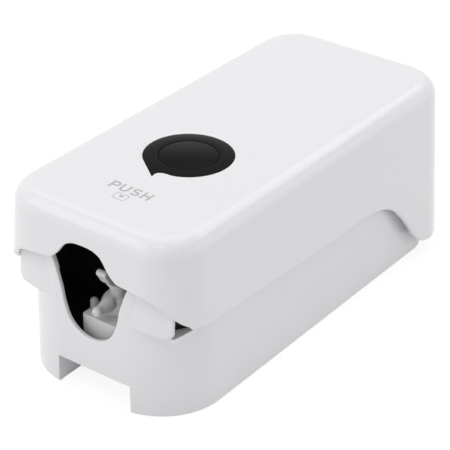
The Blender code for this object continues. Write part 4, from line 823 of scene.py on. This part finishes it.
def make_housing_wall():
    """The wall round the housing as one shell, open at the far end between its two fins."""
    runs = wall_runs()
    count = len(runs)
    places = [column_point(wall_column(run), 0.0) for run in runs]
    tops = [wall_top(x, y) for x, y in places]
    feet = [wall_foot(x, y) for x, y in places]
    downs = []
    for index in range(count):
        before = max(0, index - 1)
        after = min(count - 1, index + 1)
        way = Vector((runs[after] - runs[before], tops[after] - tops[before])).normalized()
        downs.append(Vector((way.y, -way.x)))

    def edge_row(drop, inset):
        return [bm.verts.new(wall_point(run + down.x * drop, top + down.y * drop, inset))
                for run, top, down in zip(runs, tops, downs)]

    def level_row(share, inset):
        row = []
        for run, top, foot, down in zip(runs, tops, feet, downs):
            high = top + down.y * HOUSING_LIP
            blend = down.x * HOUSING_LIP * max(0.0, 1 - (1 - share) / LIP_FADE_SHARE)
            low = foot + HOUSING_LIP
            row.append(bm.verts.new(wall_point(run + blend, low + (high - low) * share, inset)))
        return row

    def foot_row(lift, inset):
        return [bm.verts.new(wall_point(run, foot + lift, inset)) for run, foot in zip(runs, feet)]

    bm = bmesh.new()
    lip = quarter_round(HOUSING_LIP, LIP_STEPS)
    rows = [level_row(share, 0.0) for share in WALL_SHARES]
    rows += [edge_row(a, b) for a, b in lip]
    rows += [edge_row(b, HOUSING_WALL - a) for a, b in lip]
    rows += [level_row(share, HOUSING_WALL) for share in reversed(WALL_SHARES)]
    rows += [foot_row(a, HOUSING_WALL - b) for a, b in lip[1:]]
    rows += [foot_row(b, a) for a, b in lip[:-1]]
    for low, high in zip(rows, rows[1:] + rows[:1]):
        for index in range(count - 1):
            bm.faces.new((low[index], low[index + 1], high[index + 1], high[index]))
    bm.faces.new([row[0] for row in rows])
    bm.faces.new([row[-1] for row in reversed(rows)])
    wall = finish_mesh("housing_wall", bm, "housing", "white_shell")
    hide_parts("rear_housing")


# Wings of the housing's lower end: (share of the length, distance behind the end wall)

WING_START_X = 0.0210
WING_END_X = 0.0487
WING_FACE = ((0.0, 0.00025), (0.145, 0.00078), (0.32, 0.0011), (0.50, 0.0016), (0.69, 0.0024),
             (0.87, 0.0035), (1.0, 0.0045))
WING_THICKNESS = 0.0022
WING_FOOT_Z = 0.0495
WING_TOP_Z = 0.0740
WING_CORNER = 0.0045
WING_ROUND = 0.0013
WING_TIP_RUN = 0.0006
WING_TIP_THIN = 0.00045
WING_TIP_STEP = 0.0002
LEDGE_FIRST_PLACE = 6
LEDGE_END_X = 0.0510
LEDGE_TURN = -74
LEDGE_THICKNESS = 0.0016
LEDGE_OVERLAP = 0.0006


def wing_face_y(x):
    share = (x - WING_START_X) / (WING_END_X - WING_START_X)
    return HOUSING_NEAR_Y + smooth_curve(WING_FACE, share)


def wing_section(x, side):
    """Section (y, z) of a wing at a distance from the middle, trimmed to the mouth's outline."""
    past = max(0.0, x - (WING_END_X - WING_CORNER))
    foot = WING_FOOT_Z + WING_CORNER - math.sqrt(max(0.0, WING_CORNER ** 2 - past ** 2))
    tip = max(0.0, x - (WING_END_X - WING_TIP_RUN)) / WING_TIP_RUN
    thin = WING_TIP_THIN * tip ** 2
    front = wing_face_y(x) + thin
    back = wing_face_y(x) + WING_THICKNESS - thin
    top = WING_TOP_Z
    across = abs(side * x - MOUTH_MIDDLE_X)
    if across < MOUTH_SIDE[-1][0]:
        top = min(top, smooth_curve(MOUTH_SIDE, across) - HOUSING_LIP)
    lean = cover_inset(top) - cover_inset(foot)
    section = [(front + lean, top)]
    for share in (0.6, 0.3):
        section.append((front + lean * share, foot + WING_ROUND + (top - foot - WING_ROUND) * share))
    section += [(front + away, foot + rise) for rise, away in quarter_round(WING_ROUND, 5)]
    return section + [(back, foot), (back + lean, top)]


def ledge_outline(places, side):
    """Plan outline of the ledge behind a wing, back along the inside of the housing's corner."""
    outline = [(side * x, wing_face_y(x) + WING_THICKNESS - LEDGE_OVERLAP) for x in places]
    outline.append((side * LEDGE_END_X, POCKET_END_Y))
    inner = HOUSING_NEAR_R - HOUSING_WALL / 2
    start = math.degrees(math.asin((POCKET_END_Y - HOUSING_CORE_Y) / inner))
    corner = arc_path(HOUSING_CORE_X, HOUSING_CORE_Y, inner, start, LEDGE_TURN, 16)
    return outline + [(side * x, y) for x, y in corner]


def make_wings():
    """Curved plates that carry the end wall's face out past the corners, and the ledges behind them."""
    bm = bmesh.new()
    places = spread(WING_START_X, WING_END_X - WING_TIP_RUN, 44) + [WING_END_X - WING_TIP_STEP, WING_END_X]
    for side in (-1, 1):
        rows = []
        for x in places:
            rows.append([bm.verts.new((side * x, y, z)) for y, z in wing_section(x, side)])
        skin_along(bm, rows)
        bm.faces.new(rows[0])
        bm.faces.new(list(reversed(rows[-1])))
        ledge = ledge_outline(places[LEDGE_FIRST_PLACE:], side)
        closed_prism(bm, ledge, WING_FOOT_Z - LEDGE_THICKNESS, WING_FOOT_Z + LEDGE_OVERLAP, along_z)
    wings = finish_mesh("housing_wings", bm, "housing", "white_shell")
    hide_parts("rear_housing")


FLOOR_Z = 0.0155
FLOOR_THICKNESS = 0.0025
FAR_WALL_DROP = 0.0003
NOTCH_RIB_WIDTH = 0.0025
NOTCH_RIB_INSET = 0.0012
NOTCH_RIB_FAR_Y = -0.0880
NOTCH_RIB_SINK = 0.0004
EAR_RADIUS = 0.0080
EAR_BELOW = 0.0060
EAR_ABOVE = 0.0220
EAR_INNER_X = 0.0370
EAR_OUTER_X = 0.0410
INSIDE_EDGE = 0.0003


def make_housing_inside():
    """Floor, far cross wall, notch ribs and hinge ears of the housing."""
    bm = bmesh.new()
    floor_inset = HOUSING_WALL / 2 + FLOOR_Z * math.tan(HOUSING_DRAFT)
    middle_y = HOUSING_FAR_Y - HOUSING_WALL / 2
    plan = [column_point(wall_column(run), floor_inset) for run in wall_runs()]
    floor = [(x, y) for x, y in plan if y < middle_y]
    closed_prism(bm, floor, FLOOR_Z, FLOOR_Z + FLOOR_THICKNESS, along_z)
    end_x = HOUSING_HALF - HOUSING_WALL / 2
    far_wall = box_outline(-end_x, end_x, HOUSING_FAR_Y - HOUSING_WALL, HOUSING_FAR_Y)
    closed_prism(bm, far_wall, 0.0, SIDE_TOP_Z - FAR_WALL_DROP, along_z)
    for side in (-1, 1):
        notch_x = NOTCH_MIDDLE_X + side * NOTCH_HALF
        low, high = sorted((notch_x, notch_x + side * NOTCH_RIB_WIDTH))
        rib = box_outline(low, high, HOUSING_NEAR_Y + NOTCH_RIB_INSET, NOTCH_RIB_FAR_Y)
        closed_prism(bm, rib, 0.0, FLOOR_Z + NOTCH_RIB_SINK, along_z)
        ear = [(middle_y, HINGE_Z - EAR_BELOW)]
        ear += arc_path(HINGE_Y, HINGE_Z, EAR_RADIUS, -90, 110, 30)
        ear.append((middle_y, HINGE_Z + EAR_ABOVE))
        low, high = sorted((side * EAR_INNER_X, side * EAR_OUTER_X))
        closed_prism(bm, ear, low, high, along_x)
    inside = finish_mesh("housing_inside", bm, "housing", "white_shell", 25.0)
    edge = inside.modifiers.new("edge", "BEVEL")
    edge.width = INSIDE_EDGE
    edge.segments = 2
    edge.limit_method = "ANGLE"
    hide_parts("rear_housing")


# Push lever; the tongue and its post are (y, z) from the pump's axis and the tongue's underside

PUMP_Y = -0.0980
LEVER_TOP_Z = 0.0790
LEVER_BAR_NEAR_Y = -0.0920
LEVER_BAR_WIDTH = 0.0080
LEVER_BAR_INSET = 0.0003
LEVER_BAR_OVERLAP = 0.0010
LEVER_ARM_X = 0.0450
LEVER_ARM_WIDTH = 0.0030
LEVER_ARM_HEIGHT = 0.0090
LEVER_EYE_RADIUS = 0.0062
LEVER_SHOULDER = 0.0100
LIMB_SETBACK = 0.0060
LIMB_CHAMFER = 0.0060
LIMB_NEAR_LOW_Z = 0.0430
LIMB_FAR_LOW_Z = 0.0490
TONGUE_LOW_Z = 0.0575
TONGUE_HALF = 0.0031
TONGUE_BAR_HALF = 0.0018
TONGUE_PATH = ((0.0045, 0.0018), (-0.0040, 0.0018), (-0.0063, 0.0020), (-0.0084, 0.0031),
               (-0.0101, 0.0053), (-0.0115, 0.0076), (-0.0124, 0.0088))
POST_NEAR = ((0.0005, 0.0036), (-0.0030, 0.0036), (-0.0030, 0.0))
POST_DEPTH = 0.0040
POST_INSET = 0.0006
LEVER_EDGE = 0.0005


def through(points, steps):
    """A smooth path through points, with the given steps between each two of them."""
    path = []
    count = len(points)
    for index in range(count - 1):
        before = Vector(points[max(index - 1, 0)])
        start = Vector(points[index])
        end = Vector(points[index + 1])
        after = Vector(points[min(index + 2, count - 1)])
        for step in range(steps):
            t = step / steps
            bend = (2 * before - 5 * start + 4 * end - after) * t ** 2
            twist = (3 * start - before - 3 * end + after) * t ** 3
            path.append(0.5 * (2 * start + (end - before) * t + bend + twist))
    return path + [Vector(points[-1])]


def bar_outline(path, half):
    """Outline of an even bar round a path, with a round free end."""
    left = []
    right = []
    for index, here in enumerate(path):
        way = (path[min(index + 1, len(path) - 1)] - path[max(index - 1, 0)]).normalized()
        side = Vector((-way.y, way.x)) * half
        left.append(here + side)
        right.append(here - side)
    way = (path[-1] - path[-2]).normalized()
    side = Vector((-way.y, way.x))
    tip = [path[-1] + half * (math.cos(angle) * side + math.sin(angle) * way)
           for angle in spread(0.0, math.pi, 14)[1:-1]]
    return [tuple(point) for point in left + tip + list(reversed(right))]


def soften(piece, width):
    edge = piece.modifiers.new("edge", "BEVEL")
    edge.width = width
    edge.segments = 3
    edge.limit_method = "ANGLE"
    edge.angle_limit = math.radians(40)
    edge.harden_normals = True


def make_lever():
    """Frame with two arms, the bar over the lower end and the tongue that presses the pump."""
    bm = bmesh.new()
    under = LEVER_TOP_Z - LEVER_ARM_HEIGHT
    limb_far = HINGE_Y - LIMB_SETBACK
    limb_near = limb_far - LEVER_ARM_HEIGHT
    shoulder_z = LEVER_TOP_Z - LEVER_SHOULDER
    arm = [(LEVER_BAR_NEAR_Y, under), (limb_near - LIMB_CHAMFER, under), (limb_near, under - LIMB_CHAMFER),
           (limb_near, LIMB_NEAR_LOW_Z)]
    arm += arc_path(HINGE_Y, HINGE_Z, LEVER_EYE_RADIUS, 175, 365, 32)
    arm += [(limb_far, LIMB_FAR_LOW_Z), (limb_far, shoulder_z)]
    arm += arc_path(limb_far - LEVER_SHOULDER, shoulder_z, LEVER_SHOULDER, 0, 90, 14)[1:]
    arm.append((LEVER_BAR_NEAR_Y, LEVER_TOP_Z))
    for side in (-1, 1):
        low, high = sorted((side * LEVER_ARM_X, side * (LEVER_ARM_X + LEVER_ARM_WIDTH)))
        closed_prism(bm, arm, low, high, along_x)
    bar_near = LEVER_BAR_NEAR_Y + LEVER_BAR_INSET
    bar = box_outline(bar_near, LEVER_BAR_NEAR_Y + LEVER_BAR_WIDTH, under + LEVER_BAR_INSET,
                      LEVER_TOP_Z - LEVER_BAR_INSET)
    half = LEVER_ARM_X + LEVER_BAR_OVERLAP
    closed_prism(bm, bar, -half, half, along_x)
    post_far = LEVER_BAR_NEAR_Y + POST_DEPTH
    post = [(PUMP_Y + TONGUE_PATH[0][0], TONGUE_LOW_Z), (post_far, under + POST_INSET),
            (post_far, LEVER_TOP_Z - POST_INSET), (bar_near, LEVER_TOP_Z - 2 * POST_INSET)]
    post += [(PUMP_Y + y, TONGUE_LOW_Z + z) for y, z in POST_NEAR]
    closed_prism(bm, post, -TONGUE_HALF, TONGUE_HALF, along_x)
    path = through([(PUMP_Y + y, TONGUE_LOW_Z + z) for y, z in TONGUE_PATH], 5)
    closed_prism(bm, bar_outline(path, TONGUE_BAR_HALF), -TONGUE_HALF, TONGUE_HALF, along_x)
    lever = finish_mesh("lever_frame", bm, "lever", "white_moulding", 30.0)
    soften(lever, LEVER_EDGE)
    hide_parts("push_lever")


# Pump: block with its foot, cap with its spout, nozzle, plug and spring

BLOCK_TOP_Z = 0.0410
BLOCK_HALF = 0.0113
BLOCK_NEAR_Y = -0.1140
BLOCK_CORNER = 0.0015
BLOCK_EDGE = 0.0004
FOOT_REACH = 0.0100
FOOT_HALF = 0.0060
FOOT_CORNER = 0.0030
FOOT_THICKNESS = 0.0030

# The cap's side is (radius, height above its foot)
CAP_FOOT_Z = 0.0413
CAP_SIDE = ((0.0100, 0.0), (0.0100, 0.0011), (0.0097, 0.0028), (0.0090, 0.0045), (0.0080, 0.0059),
            (0.0071, 0.0071), (0.0064, 0.0077))
SPOUT_ROOT_RADIUS = 0.0041
SPOUT_END_RADIUS = 0.0027
SPOUT_START = 0.0075
SPOUT_LENGTH = 0.0084
SPOUT_BACK = 0.0001
NOZZLE_Z = 0.0466
NOZZLE_START_Y = -0.1142
NOZZLE_RADIUS = 0.0028
NOZZLE_TURN = math.radians(80)
NOZZLE_HOLE_RADIUS = 0.0004
NOZZLE_HOLE_DEPTH = 0.0030
NOZZLE_HOLE_EDGE = 0.0001
PLUG_TURN = math.radians(84)
SPRING_WIRE = 0.0004
SPRING_PITCH = 0.0032
SPRING_STEPS = 150
WIRE_STEPS = 8


def make_block():
    """Block with rounded corners on a foot that takes the two screws."""
    bm = bmesh.new()
    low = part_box("pump_block")[0][2]
    far_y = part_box("pump_block")[1][1]
    outline = rounded_box(-BLOCK_HALF, BLOCK_HALF, BLOCK_NEAR_Y, far_y, BLOCK_CORNER, 6)
    closed_prism(bm, outline, low, BLOCK_TOP_Z, along_z)
    reach = BLOCK_HALF + FOOT_REACH
    foot = rounded_box(-reach, reach, PUMP_Y - FOOT_HALF, PUMP_Y + FOOT_HALF, FOOT_CORNER, 8)
    closed_prism(bm, foot, low, low + FOOT_THICKNESS, along_z)
    block = finish_mesh("pump_body", bm, "housing", "white_moulding", 30.0)
    soften(block, BLOCK_EDGE)
    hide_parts("pump_block")


def make_cap():
    """Cap turned about the pump's axis, with a spout that tapers towards the nozzle."""
    bm = bmesh.new()
    side = through([(radius, CAP_FOOT_Z + height) for radius, height in CAP_SIDE], 4)
    turned(bm, [tuple(point) for point in side], (0, PUMP_Y, 0), (0, 0, 1), 64)
    spout = [(SPOUT_ROOT_RADIUS, SPOUT_START - SPOUT_BACK)]
    for share in spread(0.0, 1.0, 20):
        swell = (1 + math.cos(math.pi * share)) / 2
        radius = SPOUT_END_RADIUS + (SPOUT_ROOT_RADIUS - SPOUT_END_RADIUS) * swell
        spout.append((radius, SPOUT_START + SPOUT_LENGTH * share))
    turned(bm, spout, (0, PUMP_Y, NOZZLE_Z), (0, -1, 0))
    cap = finish_mesh("pump_head", bm, "housing", "white_moulding", 40.0)
    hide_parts("pump_cap")


def make_nozzle():
    """Nozzle with a round end and a fine hole."""
    bm = bmesh.new()
    reach = NOZZLE_START_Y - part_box("outlet_nozzle")[0][1]
    profile = [(NOZZLE_RADIUS, 0.0)] + dome(NOZZLE_RADIUS, reach, NOZZLE_TURN, 14)
    profile += [(NOZZLE_HOLE_RADIUS, profile[-1][1] - NOZZLE_HOLE_EDGE),
                (NOZZLE_HOLE_RADIUS, reach - NOZZLE_HOLE_DEPTH)]
    turned(bm, profile, (0, NOZZLE_START_Y, NOZZLE_Z), (0, -1, 0))
    nozzle = finish_mesh("nozzle_tip", bm, "housing", "white_moulding", 40.0)
    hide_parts("outlet_nozzle")


def make_plug():
    """Grey plug with a domed top beside the nozzle."""
    bm = bmesh.new()
    low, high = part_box("vent_plug")
    radius = (high[0] - low[0]) / 2
    profile = [(radius, 0.0)] + dome(radius, high[2] - low[2], PLUG_TURN, 12)
    turned(bm, profile, ((low[0] + high[0]) / 2, (low[1] + high[1]) / 2, low[2]), (0, 0, 1), 32)
    plug = finish_mesh("block_plug", bm, "housing", "grey_plastic", 40.0)
    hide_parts("vent_plug")


def make_spring():
    """Round wire spring under the piston."""
    low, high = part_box("pump_spring")
    start = low[2] + SPRING_WIRE
    rise = high[2] - low[2] - 2 * SPRING_WIRE
    radius = (high[0] - low[0]) / 2 - SPRING_WIRE
    turns = rise / SPRING_PITCH
    up = Vector((0, 0, 1))
    ring = circle_path(0.0, 0.0, SPRING_WIRE, WIRE_STEPS)
    bm = bmesh.new()
    rows = []
    for step in range(SPRING_STEPS + 1):
        angle = 2 * math.pi * turns * step / SPRING_STEPS
        away = Vector((math.cos(angle), math.sin(angle), 0.0))
        centre = Vector((0.0, PUMP_Y, start + rise * step / SPRING_STEPS)) + radius * away
        rows.append([bm.verts.new(centre + a * away + b * up) for a, b in ring])
    skin_closed(bm, rows)
    spring = finish_mesh("return_spring", bm, "housing", "steel", 60.0)
    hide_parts("pump_spring")
    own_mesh(spring)


# Camera, floor and light

LAMP_AIM = (0, 0, 0.05)

# Each lamp with its place, its size and its power
LAMPS = (("key", (-0.40, 0.40, 1.35), (1.2, 1.2), 4.3),
         ("far", (0.20, 1.05, 1.10), (0.9, 0.45), 2.4),
         ("near", (-0.75, -0.95, 1.00), (1.1, 0.9), 5.4),
         ("glint", (0.16, -0.70, 1.27), (0.22, 0.22), 0.9),
         ("right", (1.55, 0.60, 0.48), (2.2, 0.9), 4.7),
         ("end", (-0.25, -1.60, 0.45), (1.2, 0.5), 1.8))
WHITE = (1.0, 1.0, 1.0, 1.0)
SKY = (1.0, 0.99, 1.0, 1.0)
SKY_STRENGTH = 0.55
FLOOR_HALF = 3.0
FLOOR_LOW_Z = -0.0005
FLOOR_TONE = (0.80, 0.80, 0.80, 1.0)
FLOOR_SEEN_TONE = (0.22, 0.22, 0.22, 1.0)
FLOOR_GLOW = 0.86


def make_camera():
    data = bpy.data.cameras.new("camera")
    data.lens = CAMERA_LENS
    data.sensor_width = CAMERA_SENSOR
    data.clip_start, data.clip_end = CAMERA_CLIP
    made = add_object("camera", data)
    sight = CAMERA_SIGHT.normalized()
    level = sight.cross(Vector((0, 0, 1))).normalized()
    above = level.cross(sight)
    across = math.cos(CAMERA_ROLL) * level + math.sin(CAMERA_ROLL) * above
    up = math.cos(CAMERA_ROLL) * above - math.sin(CAMERA_ROLL) * level
    made.matrix_world = Matrix.Translation(CAMERA_EYE) @ Matrix((across, up, -sight)).transposed().to_4x4()
    bpy.context.scene.camera = made


def add_area(name, place, size, power):
    data = bpy.data.lights.new(name, "AREA")
    data.shape = "RECTANGLE"
    data.size, data.size_y = size
    data.energy = power
    made = add_object(name, data)
    made.location = place
    made.rotation_mode = "QUATERNION"
    made.rotation_quaternion = (Vector(LAMP_AIM) - Vector(place)).to_track_quat("-Z", "Y")


def seen_directly(tree):
    """1 for rays from the camera and for those that gloss or glass sends on."""
    path = tree.nodes.new("ShaderNodeLightPath")
    value = path.outputs["Is Camera Ray"]
    for name in ("Is Glossy Ray", "Is Transmission Ray"):
        larger = tree.nodes.new("ShaderNodeMath")
        larger.operation = "MAXIMUM"
        tree.links.new(value, larger.inputs[0])
        tree.links.new(path.outputs[name], larger.inputs[1])
        value = larger.outputs[0]
    return value


def bare_tree(owner, kind):
    """The emptied node tree of a material or a world, and a new output node in it."""
    owner.use_nodes = True
    tree = owner.node_tree
    tree.nodes.clear()
    return tree, tree.nodes.new(kind)


def mix_seen(tree, plain, seen, out):
    """One shader lights the part, and another is what the camera sees."""
    mix = tree.nodes.new("ShaderNodeMixShader")
    tree.links.new(seen_directly(tree), mix.inputs["Fac"])
    tree.links.new(plain.outputs[0], mix.inputs[1])
    tree.links.new(seen.outputs[0], mix.inputs[2])
    tree.links.new(mix.outputs[0], out.inputs["Surface"])


def make_floor():
    """A pale floor that shows near white to the camera and keeps a soft shadow."""
    mesh = bpy.data.meshes.new("floor")
    plan = box_outline(-FLOOR_HALF, FLOOR_HALF, -FLOOR_HALF, FLOOR_HALF)
    mesh.from_pydata([(x, y, FLOOR_LOW_Z) for x, y in plan], [], [(0, 1, 2, 3)])
    floor = add_object("floor", mesh)
    made = bpy.data.materials.new("floor")
    tree, out = bare_tree(made, "ShaderNodeOutputMaterial")
    seen = tree.nodes.new("ShaderNodeAddShader")
    grey = add_node(tree, "ShaderNodeBsdfDiffuse", Color=FLOOR_SEEN_TONE)
    glow = add_node(tree, "ShaderNodeEmission", Color=WHITE, Strength=FLOOR_GLOW)
    tree.links.new(grey.outputs[0], seen.inputs[0])
    tree.links.new(glow.outputs[0], seen.inputs[1])
    mix_seen(tree, add_node(tree, "ShaderNodeBsdfDiffuse", Color=FLOOR_TONE), seen, out)
    mesh.materials.append(made)


def make_world():
    """Soft white light all round, and a plain white background for the camera."""
    world = bpy.data.worlds.new("world")
    bpy.context.scene.world = world
    tree, out = bare_tree(world, "ShaderNodeOutputWorld")
    soft = add_node(tree, "ShaderNodeBackground", Color=SKY, Strength=SKY_STRENGTH)
    plain = add_node(tree, "ShaderNodeBackground", Color=WHITE, Strength=1.0)
    mix_seen(tree, soft, plain, out)


def make_light():
    make_world()
    for name, place, size, power in LAMPS:
        add_area(name, place, size, power)


make_camera()
dress_nodes()
make_cover()
make_window()
make_print()
make_housing_wall()
make_wings()
make_housing_inside()
make_lever()
make_block()
make_cap()
make_nozzle()
make_plug()
make_spring()
make_floor()
make_light()
bpy.context.scene.view_settings.view_transform = "Standard"
